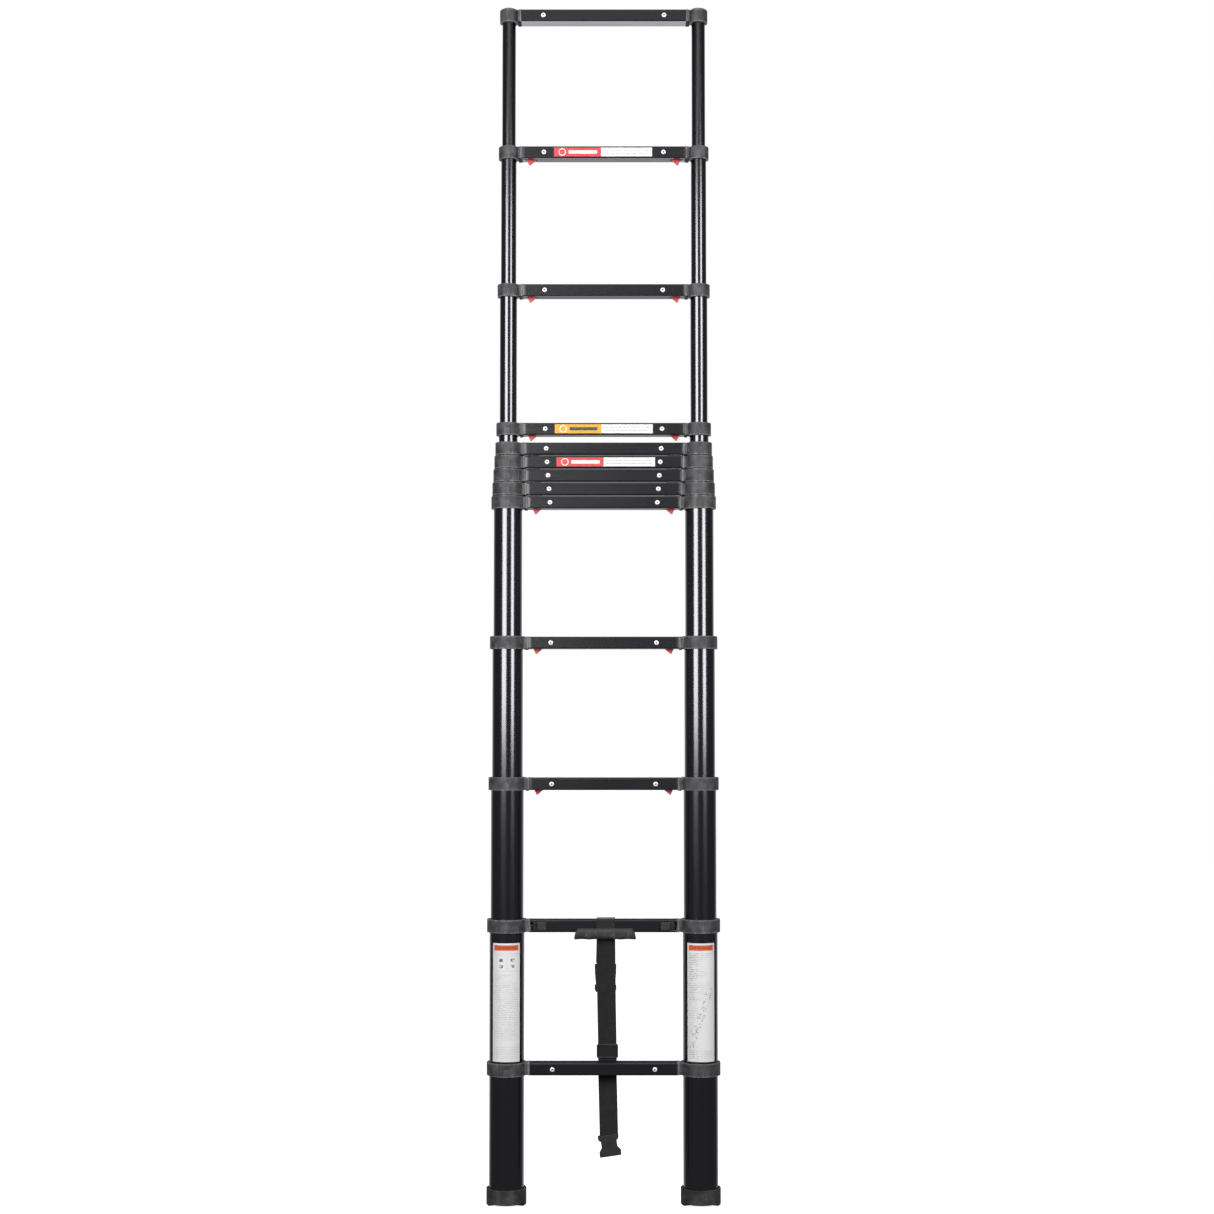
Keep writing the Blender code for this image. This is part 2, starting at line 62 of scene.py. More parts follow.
class Shade:
    """An output socket. Arithmetic on it adds Math nodes, and node() adds any other node."""

    def __init__(self, tree, socket=None):
        self.tree = tree
        self.socket = socket

    def node(self, kind, settings=None, values=None, output=0):
        """Adds a node: first its settings, then a value or a link for each named input."""
        made = self.tree.nodes.new(kind)
        for name, value in (settings or {}).items():
            setattr(made, name, value)
        for name, value in (values or {}).items():
            if isinstance(value, Shade):
                self.tree.links.new(value.socket, made.inputs[name])
            else:
                made.inputs[name].default_value = value
        return Shade(self.tree, made.outputs[output] if made.outputs else None)

    def maths(self, operation, *terms):
        return self.node("ShaderNodeMath", {"operation": operation}, dict(enumerate(terms)))

    def __add__(self, other):
        return self.maths("ADD", self, other)

    def __radd__(self, other):
        return self.maths("ADD", other, self)

    def __sub__(self, other):
        return self.maths("SUBTRACT", self, other)

    def __rsub__(self, other):
        return self.maths("SUBTRACT", other, self)

    def __mul__(self, other):
        return self.maths("MULTIPLY", self, other)

    def __rmul__(self, other):
        return self.maths("MULTIPLY", other, self)

    def __gt__(self, other):
        return self.maths("GREATER_THAN", self, other)

    def __lt__(self, other):
        return self.maths("LESS_THAN", self, other)

    def step(self, low, high):
        """0 below low, 1 above high and a smooth rise between; low above high turns it round."""
        ends = {"Value": self, "From Min": low, "From Max": high}
        return self.node("ShaderNodeMapRange", {"interpolation_type": "SMOOTHSTEP"}, ends)

    def mix(self, first, second):
        """The first colour where this is 0 and the second where it is 1."""
        return self.node("ShaderNodeMix", {"data_type": "RGBA"}, {0: self, 6: first, 7: second}, 2)

    def field(self, name):
        """The numbers that piece() left on the mesh under this name."""
        return self.node("ShaderNodeAttribute", {"attribute_name": name}, {}, "Fac")

    def noise(self, place, scale, detail=2.0, stretch=(1.0, 1.0, 1.0)):
        """Noise over the place, drawn out along an axis whose stretch is small."""
        spread = self.node("ShaderNodeMapping", {}, {"Vector": place, "Scale": stretch})
        return self.node("ShaderNodeTexNoise", {}, {"Vector": spread, "Scale": scale, "Detail": detail})

    def bump(self, distance, strength):
        """A normal from this height, in metres for a full step of 0 to 1."""
        values = {"Height": self, "Distance": distance, "Strength": strength}
        return self.node("ShaderNodeBump", {}, values)


def new_finish(name):
    """An empty material, a Shade that its nodes are made from, and the place on the object."""
    material = bpy.data.materials.new(name)
    material.use_nodes = True
    material.node_tree.nodes.clear()
    start = Shade(material.node_tree)
    return material, start, start.node("ShaderNodeTexCoord", output="Object")


def close_finish(material, start, values):
    surface = start.node("ShaderNodeBsdfPrincipled", {}, values)
    start.node("ShaderNodeOutputMaterial", {}, {"Surface": surface})
    return material


def floor_finish():
    """White paper: it scatters light and glows a little, so that it stays white to its far edge."""
    material, start, place = new_finish("white_paper")
    tooth = start.noise(place, 40.0)
    return close_finish(material, start, {
        "Base Color": tooth.mix(FLOOR_WHITE, FLOOR_WHITER),
        "Roughness": 0.9,
        "Emission Color": WHITE,
        "Emission Strength": FLOOR_GLOW,
    })


def in_scene(name, data):
    thing = bpy.data.objects.new(name, data)
    bpy.context.scene.collection.objects.link(thing)
    return thing


def soft_light(name, place, aim, size, watts):
    """A rectangular soft box at a place, turned towards the point it is aimed at."""
    lamp = bpy.data.lights.new(name, "AREA")
    lamp.shape = "RECTANGLE"
    lamp.size, lamp.size_y = size
    lamp.energy = watts
    box = in_scene(name, lamp)
    box.location = place
    direction = Vector(aim) - Vector(place)
    box.rotation_euler = direction.to_track_quat("-Z", "Y").to_euler()


lens = bpy.data.cameras.new("camera")
lens.lens = CAMERA_LENS
camera = in_scene("camera", lens)
camera.location = CAMERA_PLACE
camera.rotation_euler = (math.radians(CAMERA_PITCH), 0.0, 0.0)
bpy.context.scene.camera = camera
bpy.context.scene.view_settings.view_transform = "Standard"

world = bpy.data.worlds.new("studio")
world.use_nodes = True
world.node_tree.nodes.clear()
room = Shade(world.node_tree)
seen = room.node("ShaderNodeLightPath", output="Is Camera Ray")
direction = room.node("ShaderNodeTexCoord", output="Generated")
sideways, behind, upwards = (
    room.node("ShaderNodeSeparateXYZ", {}, {"Vector": direction}, axis) for axis in "XYZ")
aside = room.maths("ABSOLUTE", sideways).step(0.15, 0.40)
below = upwards.step(-0.26, -0.32)
wall = behind.step(0.45, 0.95) * room.maths("MAXIMUM", WALL_MIDDLE + WALL_ASIDE * aside, below)
glow = seen.mix(wall.mix(ROOM_DARK, ROOM_BRIGHT), WHITE)
backdrop = room.node("ShaderNodeBackground", {}, {"Color": glow})
room.node("ShaderNodeOutputWorld", {}, {"Surface": backdrop})
bpy.context.scene.world = world

floor_mesh = bpy.data.meshes.new("floor")
half = FLOOR_SIZE / 2
corners = [(-half, -half, 0), (half, -half, 0), (half, half, 0), (-half, half, 0)]
floor_mesh.from_pydata(corners, [], [(0, 1, 2, 3)])
floor_mesh.materials.append(floor_finish())
floor = in_scene("floor", floor_mesh)
floor.visible_glossy = False
floor.visible_diffuse = False

soft_light("overhead", (0.0, -0.4, 4.4), (0.0, 0.0, 0.0), (3.0, 3.0), 60)
soft_light("tall_left", (-1.36, -2.56, 1.88), (0.0, 0.0, 1.88), (1.60, 1.9), 84)
soft_light("tall_right", (1.77, -2.30, 1.88), (0.0, 0.0, 1.88), (1.10, 1.9), 58)
soft_light("high_front", (0.0, -2.9, 3.6), (0.0, 0.0, 2.2), (2.6, 1.2), 6)


# Stiles: twelve pairs of drawn aluminium tubes with a glossy black coat, each sliding in the next.
# Both ends of a tube are deburred, and its upper end is held in its collar.

SECTIONS = range(1, 13)
SIDES = {"left": -1, "right": 1}
COLLAR_WALL = 0.0053
TUBE_WALL = 0.0013
TUBE_COLUMNS = 96
TUBE_DEBURR = 0.0004
TUBE_TOP_IN_COLLAR = 0.003
TUBE_BLACK = (0.105, 0.105, 0.112, 1)
TUBE_WORN = (0.150, 0.150, 0.158, 1)


def body_of_section(section):
    return "base" if section >= 12 else f"section_{section:02d}"


def filleted(corners, radius, steps=5, closed=True):
    """An outline through corners, each rounded by the circle that touches both its sides: the arc
    turns from one touching point to the other about the circle's centre."""
    corners = np.array(corners, float)
    before = np.roll(corners, 1, axis=0) - corners
    after = np.roll(corners, -1, axis=0) - corners
    before /= np.linalg.norm(before, axis=1, keepdims=True)
    after /= np.linalg.norm(after, axis=1, keepdims=True)
    half_angle = np.arccos(np.clip((before * after).sum(1), -1, 1))[:, None] / 2
    radius = np.broadcast_to(np.array(radius, float), len(corners))[:, None]
    middle = before + after
    middle /= np.linalg.norm(middle, axis=1, keepdims=True)
    centre = corners + middle * radius / np.sin(half_angle)
    start = corners + before * radius / np.tan(half_angle) - centre
    end = corners + after * radius / np.tan(half_angle) - centre
    turn = (math.pi - 2 * half_angle)[:, None, :]
    share = np.linspace(0, 1, steps)[None, :, None]
    arc = np.sin((1 - share) * turn) * start[:, None] + np.sin(share * turn) * end[:, None]
    points = centre[:, None] + arc / np.sin(turn)
    if closed:
        return points.reshape(-1, 2)
    return np.vstack([corners[:1], points[1:-1].reshape(-1, 2), corners[-1:]])


def grid(points, looped=False):
    """A closed shell over rows of points that run round it: its two end rows are capped, or joined
    to each other where it is looped."""
    rows, columns = points.shape[:2]
    index = np.arange(rows * columns).reshape(rows, columns)
    here = index if looped else index[:-1]
    there = np.roll(index, -1, axis=0) if looped else index[1:]
    faces = np.stack([here, np.roll(here, -1, 1), np.roll(there, -1, 1), there], -1).reshape(-1, 4)
    caps = [] if looped else [index[0, ::-1], index[-1]]
    return points.reshape(-1, 3), faces, caps


def turned(profile, columns=TUBE_COLUMNS, looped=True):
    """A profile of (radius, height) turned about Z: x and y are the radius times the cosine and the
    sine of the angle."""
    angle = np.linspace(0, 2 * np.pi, columns, endpoint=False)
    profile = np.asarray(profile)
    x = profile[:, :1] * np.cos(angle)
    y = profile[:, :1] * np.sin(angle)
    z = profile[:, 1:] + 0 * angle
    return grid(np.stack([x, y, z], -1), looped)


def moved(shell, by=(0, 0, 0), mirror=(1, 1, 1)):
    points, faces, caps = shell
    return points * np.array(mirror) + np.array(by), faces, caps


def heights_of(shells):
    return np.concatenate([shell[0][:, 2] for shell in shells])


def at_stile(shell, side, height):
    """A shell made about a tube's own axis, with the rung towards +X, put on the left or right."""
    return moved(shell, (SIDES[side] * stile_x, 0, height), (-SIDES[side], 1, 1))


def piece(name, shells, finish, body, replaced=(), crease=35.0, fields=None, wall=0.0):
    """One object of closed shells. A shell whose faces point inwards, as its volume about its middle
    tells, is turned round. Fields are numbers that a material reads at each point, and a wall makes
    a skin a hollow with that thickness. Flat faces keep their own normals beside round edges."""
    points, faces, first = [], [], 0
    for shell_points, quads, caps in shells:
        arms = shell_points[quads] - shell_points.mean(0)
        volume = np.einsum("ij,ij", arms[:, 0], np.cross(arms[:, 1], arms[:, 2]))
        volume += np.einsum("ij,ij", arms[:, 0], np.cross(arms[:, 2], arms[:, 3]))
        way = 1 if volume > 0 else -1
        faces += (quads[:, ::way] + first).tolist()
        faces += [(cap[::way] + first).tolist() for cap in caps]
        points.append(shell_points)
        first += len(shell_points)
    mesh = bpy.data.meshes.new(name)
    mesh.from_pydata(np.vstack(points).tolist(), [], faces)
    for field, numbers in (fields or {}).items():
        attribute = mesh.attributes.new(field, "FLOAT", "POINT")
        attribute.data.foreach_set("value", np.asarray(numbers, np.float32).ravel())
    mesh.materials.append(finish)
    mesh.shade_smooth()
    mesh.set_sharp_from_angle(angle=math.radians(crease))
    thing = in_scene(name, mesh)
    if wall:
        hollow = thing.modifiers.new("wall", "SOLIDIFY")
        hollow.thickness = wall
        hollow.offset = -1.0
        hollow.use_even_offset = True
    flat_faces = thing.modifiers.new("flat_faces", "WEIGHTED_NORMAL")
    flat_faces.keep_sharp = True
    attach(thing, body)
    if replaced:
        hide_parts(*replaced)
    return thing


def tube_finish():
    """Gloss black over drawn aluminium: long fine lines, and faint rubbing where tubes slide."""
    material, start, place = new_finish("gloss_black_coat")
    lines = start.noise(place, 900.0, 2.0, (1.0, 1.0, 0.004))
    cloud = start.noise(place, 14.0, 4.0, (1.0, 1.0, 0.35))
    rubbed = lines.step(0.60, 0.78) * cloud.step(0.48, 0.72)
    return close_finish(material, start, {
        "Base Color": (rubbed * 0.55).mix(TUBE_BLACK, TUBE_WORN),
        "Roughness": 0.15 + 0.05 * cloud + 0.02 * rubbed,
        "Metallic": 1.0,
    })


foot_low, foot_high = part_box("foot_left")
stile_x = -(foot_low.x + foot_high.x) / 2
boxes = {section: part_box(f"tube_{section:02d}_left") for section in SECTIONS}
rung_tops = {section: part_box(f"rung_{section:02d}")[1].z for section in range(1, 14)}
radii = {section: high.y - COLLAR_WALL for section, (low, high) in boxes.items()}
gloss_black = tube_finish()
for section in SECTIONS:
    radius, bore = radii[section], radii[section] - TUBE_WALL
    low, high = boxes[section][0].z - rung_tops[section], -TUBE_TOP_IN_COLLAR
    profile = filleted([(radius, low), (radius, high), (bore, high), (bore, low)], TUBE_DEBURR, 3)
    for side in SIDES:
        shell = at_stile(turned(profile), side, rung_tops[section])
        piece(f"stile_{section:02d}_{side}", [shell], gloss_black, body_of_section(section),
              [f"tube_{section:02d}_{side}"])


# Collars: moulded dark grey nylon on top of every tube. The ring ends in a lip round the inner tube,
# the shoulder carries the rung, and the fixed rung's collars are the same moulding without the lip.

RING_ABOVE = 0.0012
RING_BELOW = -0.0256
RING_TOP_ROUND = 0.0013
RING_LOW_ROUND = 0.0007
LIP_CLEARANCE = 0.0003
POLE = 0.0005
SHOULDER_REACH = 0.0123
SHOULDER_HALF = 0.0185
SHOULDER_TOP, SHOULDER_LOW = 0.0006, -0.0254
SHOULDER_STEP = 0.0008
SHOULDER_ROUND = 0.0025
FLANGE = 0.0034
DOME_FOOT, DOME_RISE = -0.0007, 0.0077
CAP_CEILING = -0.0028
TAB_WIDTH, TAB_HEIGHT, TAB_PROUD = 0.0085, 0.0135, 0.0010
NYLON = (0.062, 0.062, 0.065, 1)
NYLON_DARK = (0.028, 0.028, 0.029, 1)
# Pale grey for scuffs, and for the painted highlight along edges.
NYLON_SCUFF_AND_HIGHLIGHT = (0.24, 0.24, 0.25, 1)


def inset(outline, by):
    """The outline moved inwards: each point goes along the middle of its two sides' normals."""
    side = np.roll(outline, -1, axis=0) - outline
    area = np.sum(outline[:, 0] * np.roll(outline[:, 1], -1) - np.roll(outline[:, 0], -1) * outline[:, 1])
    normal = np.stack([-side[:, 1], side[:, 0]], 1) * np.sign(area)
    normal /= np.linalg.norm(normal, axis=1, keepdims=True)
    middle = normal + np.roll(normal, 1, axis=0)
    middle *= 2 / (middle**2).sum(1, keepdims=True)
    return outline + middle * by


def inset_rows(outline, depths, levels):
    """Copies of the outline, each inset by its depth, with its level as a third coordinate."""
    rows = np.stack([inset(outline, by) for by in depths])
    level = np.broadcast_to(np.array(levels)[:, None, None], rows.shape[:2] + (1,))
    return np.concatenate([rows, level], -1)


def prism(outline, low, high, across, edge, steps=4):
    """An outline extruded along Y or Z, with quarter rounds of the edge's size at both ends: a row
    at angle a is inset by edge (1 - sin a) and stands edge (1 - cos a) from the end."""
    angle = np.linspace(0, np.pi / 2, steps)
    depth = edge * (1 - np.sin(angle))
    rise = edge * (1 - np.cos(angle))
    depths = np.concatenate([depth, depth[::-1]])
    levels = np.concatenate([low + rise, (high - rise)[::-1]])
    order = {"Y": (0, 2, 1), "Z": (0, 1, 2)}[across]
    return grid(inset_rows(outline, depths, levels)[..., order])


def box_outline(low, high, radius, steps=4):
    corners = [(low[0], low[1]), (high[0], low[1]), (high[0], high[1]), (low[0], high[1])]
    return filleted(corners, radius, steps)


def shoulder(radius):
    """A rounded box from the ring's wall, where it is narrow enough to stay inside, to the rung's
    end: its section steps out to a flange there and rounds off, and it returns weights for a painted
    highlight along the flange's edges."""
    start, end = radius + 0.001, radius + SHOULDER_REACH - 0.0003
    flange = end - FLANGE
    stations = [start, start + 0.004, flange - 0.0006, flange, end - 0.0008, end - 0.0003, end]
    depths = [SHOULDER_STEP, SHOULDER_STEP, SHOULDER_STEP, 0.0, 0.0, 0.0002, 0.0006]
    low, high = (-SHOULDER_HALF, SHOULDER_LOW), (SHOULDER_HALF, SHOULDER_TOP)
    outline = box_outline(low, high, SHOULDER_ROUND, 6)
    rows = inset_rows(outline, depths, stations)[..., (2, 0, 1)]
    in_wall = math.sqrt((radius + COLLAR_WALL) ** 2 - start**2) - 0.0003
    rows[0, :, 1] *= min(1.0, in_wall / SHOULDER_HALF)
    # Weights for a painted highlight along the flange's edges.
    rim_highlights = np.repeat([0.0, 0.0, 0.1, 0.9, 0.7, 0.9, 0.3], len(outline))
    return grid(rows), rim_highlights


def arch_tab(radius, way):
    """An arch-shaped boss on the ring, at its front or back: y follows the ring's circle. It returns
    weights for a painted highlight on the rounded edge of its face."""
    half = TAB_WIDTH / 2
    low = RING_BELOW + 0.0022
    rounds = [0.0004, 0.0004, half * 0.98, half * 0.98]
    outline = box_outline((-half, low), (half, low + TAB_HEIGHT), rounds, 10)
    points, faces, caps = prism(outline, -0.0015, TAB_PROUD, "Y", 0.0004)
    points[:, 1] = way * (np.sqrt(radius**2 - points[:, 0] ** 2) + points[:, 1])
    # Weights for a painted highlight on the rounded edge of the tab's face.
    rim_highlights = np.repeat([0, 0, 0, 0, 0.5, 1, 1, 0.2], len(outline))
    return (points, faces, caps), rim_highlights


def ring_profile(radius, bore, hold):
    """Outside of the ring, its rounded top, the lip at the bore and the seat on the tube."""
    outer, seat = radius + COLLAR_WALL, LIP_CLEARANCE - TUBE_TOP_IN_COLLAR
    corners = [(hold, RING_BELOW), (outer, RING_BELOW), (outer, RING_ABOVE), (bore, RING_ABOVE)]
    rounds = [0.0002, RING_LOW_ROUND, RING_TOP_ROUND, 0.0008]
    if bore < hold:
        corners += [(bore, seat), (hold, seat)]
        rounds += [0.0003, 0.0002]
    return filleted(corners, rounds, 6)


def cap_profile(radius):
    """The top section's collar: a ring closed by a low dome, a quarter of an ellipse."""
    outer = radius + COLLAR_WALL
    angle = np.linspace(0, np.pi / 2 * 0.985, 22)
    dome = np.stack([outer * np.cos(angle), DOME_FOOT + DOME_RISE * np.sin(angle)], 1)
    wall = [(radius, -0.02), (radius + 0.0001, RING_BELOW), (outer, RING_BELOW), (outer, -0.02)]
    low = filleted(wall, [0.0001, 0.0002, RING_LOW_ROUND, 0.0001], 5, closed=False)[1:-1]
    return np.vstack([dome[::-1], low[::-1], [(radius, CAP_CEILING), (POLE, CAP_CEILING)]])


def nylon_finish(name, dark, pale, scuff_and_highlight):
    """Moulded nylon: a fine spark-eroded grain, cloudy flow marks, pale scuffs, and a pale band on its
    edges that is partly scuffing and partly painted highlight. The height above the rung's top, from
    -25 to +1 mm, and the highlight weights on the bosses' rims tell where those edges are."""
    material, start, place = new_finish(name)
    height, rim = start.field("height"), start.field("rim")
    grain = start.noise(place, 1800.0, 2.0)
    cloud = start.noise(place, 55.0, 5.0)
    scratches = start.noise(place, 260.0, 3.0, (1.0, 1.0, 0.12))
    # The pale band at the ring's top and bottom edges and on the rim field is part scuffing, part painted
    # highlight.
    near_top = height.step(-0.0022, 0.0006)
    near_low = height.step(-0.0225, -0.0252)
    edge = (0.5 * near_top + near_low + rim) * (0.35 + 0.65 * scratches.step(0.42, 0.62))
    scuffs = scratches.step(0.58, 0.74) * cloud.step(0.42, 0.62)
    body = cloud.step(0.36, 0.64).mix(dark, pale)
    return close_finish(material, start, {
        "Base Color": (0.75 * edge + 0.5 * scuffs).mix(body, scuff_and_highlight),
        "Roughness": 0.46 + 0.16 * grain + 0.06 * edge,
        "Specular IOR Level": 0.45,
        "Normal": (grain + 0.6 * scratches).bump(0.00006, 0.55),
    })


nylon = nylon_finish("moulded_nylon", NYLON_DARK, NYLON, NYLON_SCUFF_AND_HIGHLIGHT)
for rung in range(1, 14):
    section = min(rung, 12)
    radius = radii[section]
    if rung == 1:
        ring = turned(cap_profile(radius), looped=False)
    elif rung == 13:
        bore = radius + LIP_CLEARANCE
        ring = turned(ring_profile(radius, bore, bore - 0.0001))
    else:
        ring = turned(ring_profile(radius, radii[section - 1] + LIP_CLEARANCE, radius + 0.0001))
    rimmed = [(ring, np.zeros(len(ring[0]))), shoulder(radius)]
    rimmed += [arch_tab(radius + COLLAR_WALL, way) for way in (-1, 1) if rung > 1]
    # The rim field carries the painted highlight weights of the shoulder and the tabs.
    rim_highlights = np.concatenate([shell_rim_highlights for _, shell_rim_highlights in rimmed])
    for side in SIDES:
        placed = [at_stile(shell, side, rung_tops[rung]) for shell, _ in rimmed]
        heights = heights_of(placed) - rung_tops[rung]
        node = f"collar_13_{side}" if rung == 13 else f"tube_{rung:02d}_{side}"
        piece(f"stile_collar_{rung:02d}_{side}", placed, nylon, body_of_section(rung), [node],
              fields={"height": heights, "rim": rim_highlights})


# Bump pads: small black rubber blocks under each shoulder's inner end, which the shoulder below
# lands on when the ladder is pushed together.

PAD_WIDTH, PAD_HEIGHT, PAD_HALF_DEPTH = 0.0066, 0.0015, 0.0150
PAD_FROM_END = 0.0008
PAD_BLACK = (0.003, 0.003, 0.003, 1)
PAD_PALE = (0.008, 0.008, 0.008, 1)


def rubber_finish(name, dark, pale):
    """Black rubber with a dull bloom and a fine moulded tooth."""
    material, start, place = new_finish(name)
    tooth = start.noise(place, 1100.0, 3.0)
    bloom = start.noise(place, 45.0, 5.0)
    return close_finish(material, start, {
        "Base Color": (bloom.step(0.35, 0.75) * 0.8).mix(dark, pale),
        "Roughness": 0.62 + 0.2 * tooth,
        "Specular IOR Level": 0.25,
        "Normal": tooth.bump(0.00010, 0.5),
    })


pad_rubber = rubber_finish("pad_rubber", PAD_BLACK, PAD_PALE)
for section in range(1, 12):
    end = radii[section] + SHOULDER_REACH - PAD_FROM_END
    outline = box_outline((end - PAD_WIDTH, -PAD_HALF_DEPTH), (end, PAD_HALF_DEPTH), 0.0008)
    pad = prism(outline, SHOULDER_LOW - PAD_HEIGHT, SHOULDER_LOW + 0.0005, "Z", 0.0004)
    shells = [at_stile(pad, side, rung_tops[section]) for side in SIDES]
    piece(f"bump_pads_{section:02d}", shells, pad_rubber, body_of_section(section))


# Rungs: hollow aluminium extrusions with a satin black coat. Fine treads run along the top, and the
# wall is cut through for the release wedges underneath and for the thumb slides in front.

RUNG_HALF_DEPTH = 0.0185
RUNG_HEIGHT = 0.0254
RUNG_WALL = 0.0016
RUNG_ROUND = 0.0026
TREAD_HALF = 0.0150
TREADS = 9
TREAD_DEPTH = 0.0007
SLOT_HALF_DEPTH = 0.005
SLOT_FROM, SLOT_TO = 0.0072, 0.0312
WINDOW_FROM, WINDOW_TO, WINDOW_HALF = 0.002, 0.035, 0.0085
SATIN = (0.0070, 0.0073, 0.0100, 1)
SATIN_PALE = (0.016, 0.016, 0.019, 1)


def rung_section():
    """The rung's outline, front and back, as (y, z): a rounded box with treads on top, where z sinks
    by a raised cosine between the ribs, and points at the edges of its openings."""
    half, low = RUNG_HALF_DEPTH, -RUNG_HEIGHT
    corner = np.linspace(0, np.pi / 2, 7)
    arc = np.stack([np.cos(corner), np.sin(corner)], 1) * RUNG_ROUND
    y = np.linspace(TREAD_HALF, -TREAD_HALF, TREADS * 10 + 1)
    wave = (1 - np.cos(2 * np.pi * TREADS * (y / (2 * TREAD_HALF) + 0.5))) / 2
    treads = np.stack([y, -TREAD_DEPTH * wave**0.6], 1)
    inner, top = half - RUNG_ROUND, -RUNG_ROUND
    back = arc + (inner, top)
    front = arc[::-1] * (-1, 1) + (-inner, top)
    front_edges = [(-half, low / 2 + WINDOW_HALF), (-half, low / 2 - WINDOW_HALF)]
    front_low = arc * (-1, -1) + (-inner, low + RUNG_ROUND)
    under = [(-SLOT_HALF_DEPTH, low), (SLOT_HALF_DEPTH, low)]
    back_low = arc[::-1] * (1, -1) + (inner, low + RUNG_ROUND)
    return np.vstack([back, treads, front, front_edges, front_low, under, back_low])


def rung_skin(reach, openings):
    """The section carried along X as one skin, without the cells inside the openings. An opening is
    its start and end along X, and whether it is underneath or in front."""
    section = rung_section()
    stations = {-reach, reach}
    for start, end, _ in openings:
        stations |= {start, end, -start, -end}
    stations = np.array(sorted(stations))
    x = np.broadcast_to(stations[:, None, None], (len(stations), len(section), 1))
    rows = np.broadcast_to(section, (len(stations),) + section.shape)
    points, faces, _ = grid(np.concatenate([x, rows], -1))
    middle = points[faces].mean(1)
    keep = np.ones(len(faces), bool)
    out, y, z = np.abs(middle[:, 0]), middle[:, 1], middle[:, 2]
    for start, end, underneath in openings:
        if underneath:
            across = (z < 0.0005 - RUNG_HEIGHT) & (np.abs(y) < SLOT_HALF_DEPTH)
        else:
            across = (y < 0.0005 - RUNG_HALF_DEPTH) & (np.abs(z + RUNG_HEIGHT / 2) < WINDOW_HALF)
        keep &= ~(across & (out > start) & (out < end))
    return points, faces[keep], []


def rung_finish():
    """Satin black over an extrusion: die lines along the rung, a soft cloud in the sheen, a few pale
    rub marks, and a smoother coat underneath, where nothing wears it."""
    material, start, place = new_finish("satin_black_coat")
    lines = start.noise(place, 1300.0, 2.0, (0.004, 1.0, 1.0))
    cloud = start.noise(place, 20.0, 4.0, (0.35, 1.0, 1.0))
    rubbed = lines.step(0.58, 0.80) * cloud.step(0.45, 0.75)
    return close_finish(material, start, {
        "Base Color": (rubbed * 0.6).mix(SATIN, SATIN_PALE),
        "Roughness": 0.22 + 0.08 * cloud + 0.05 * lines - 0.13 * start.field("under"),
        "Normal": lines.bump(0.000008, 0.5),
    })


satin_black = rung_finish()
reaches = {rung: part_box(f"rung_{rung:02d}")[1].x for rung in range(1, 14)}
for rung in range(1, 14):
    reach = reaches[rung]
    openings = []
    if 2 <= rung <= 11:
        openings = [(reach - SLOT_TO, reach - SLOT_FROM, True)]
    if rung == 12:
        openings = [(reach - WINDOW_TO, reach - WINDOW_FROM, False)]
    shell = moved(rung_skin(reach, openings), (0, 0, rung_tops[rung]))
    under_edge = rung_tops[rung] - RUNG_HEIGHT + RUNG_ROUND / 2
    piece(f"tread_{rung:02d}", [shell], satin_black, body_of_section(rung), [f"rung_{rung:02d}"],
          fields={"under": shell[0][:, 2] < under_edge}, wall=RUNG_WALL)


# Rivets: bright aluminium blind rivets hold each rung on the plugs inside it, two in front and two
# behind, with the stub of the pulled stem in the middle of each dome.

RIVET_FROM_END = 0.0462
RIVET_RADIUS = 0.0048
RIVET_RISE = 0.0016
RIVET_RIM = 0.0003
STEM_RADIUS = 0.0014
STEM_GAP = 0.0002
PIT_DEPTH, STEM_DEPTH = 0.0006, 0.0003
ALUMINIUM = (0.92, 0.92, 0.93, 1)
ALUMINIUM_DULL = (0.70, 0.70, 0.72, 1)
STEM_GREY = (0.10, 0.10, 0.105, 1)


def rivet():
    """A dome whose profile is a quarter of an ellipse, with a sunk ring and the stem's end in its
    middle, turned about Y."""
    angle = np.linspace(0, np.pi / 2, 9)
    flat = STEM_RADIUS + 0.0005
    dome = np.stack([flat + (RIVET_RADIUS - flat) * np.cos(angle),
                     RIVET_RIM + (RIVET_RISE - RIVET_RIM) * np.sin(angle)], 1)
    pit, top = RIVET_RISE - PIT_DEPTH, RIVET_RISE - STEM_DEPTH
    inside = [(STEM_RADIUS + STEM_GAP, pit), (STEM_RADIUS, pit)]
    inside += [(STEM_RADIUS - 0.0001, top), (0.0003, top + 0.00005)]
    profile = np.vstack([[(RIVET_RADIUS, -0.0004)], dome, inside])
    points, faces, caps = turned(profile, 40, looped=False)
    return points[:, [0, 2, 1]], faces, caps


def rivet_finish():
    """Bright aluminium, a little dull where the setting tool pressed it, and a dark grey stem."""
    material, start, place = new_finish("rivet_aluminium")
    pressed = start.noise(place, 700.0, 3.0)
    dome = pressed.step(0.35, 0.8).mix(ALUMINIUM, ALUMINIUM_DULL)
    return close_finish(material, start, {
        "Base Color": start.field("stem").mix(dome, STEM_GREY),
        "Roughness": 0.34 + 0.2 * pressed,
        "Metallic": 0.35,
        "Normal": pressed.bump(0.00004, 0.4),
    })


bright = rivet_finish()
for rung in [*range(1, 12), 13]:
    place_x = reaches[rung] - RIVET_FROM_END
    height = rung_tops[rung] - RUNG_HEIGHT / 2
    shells = [moved(rivet(), (x, way * RUNG_HALF_DEPTH, height), (1, way, 1))
              for way in (-1, 1) for x in (-place_x, place_x)]
    points = np.vstack([shell[0] for shell in shells])
    out = np.hypot(np.abs(points[:, 0]) - place_x, points[:, 2] - height)
    piece(f"rivets_{rung:02d}", shells, bright, body_of_section(rung),
          fields={"stem": out < STEM_RADIUS + 2 * STEM_GAP})


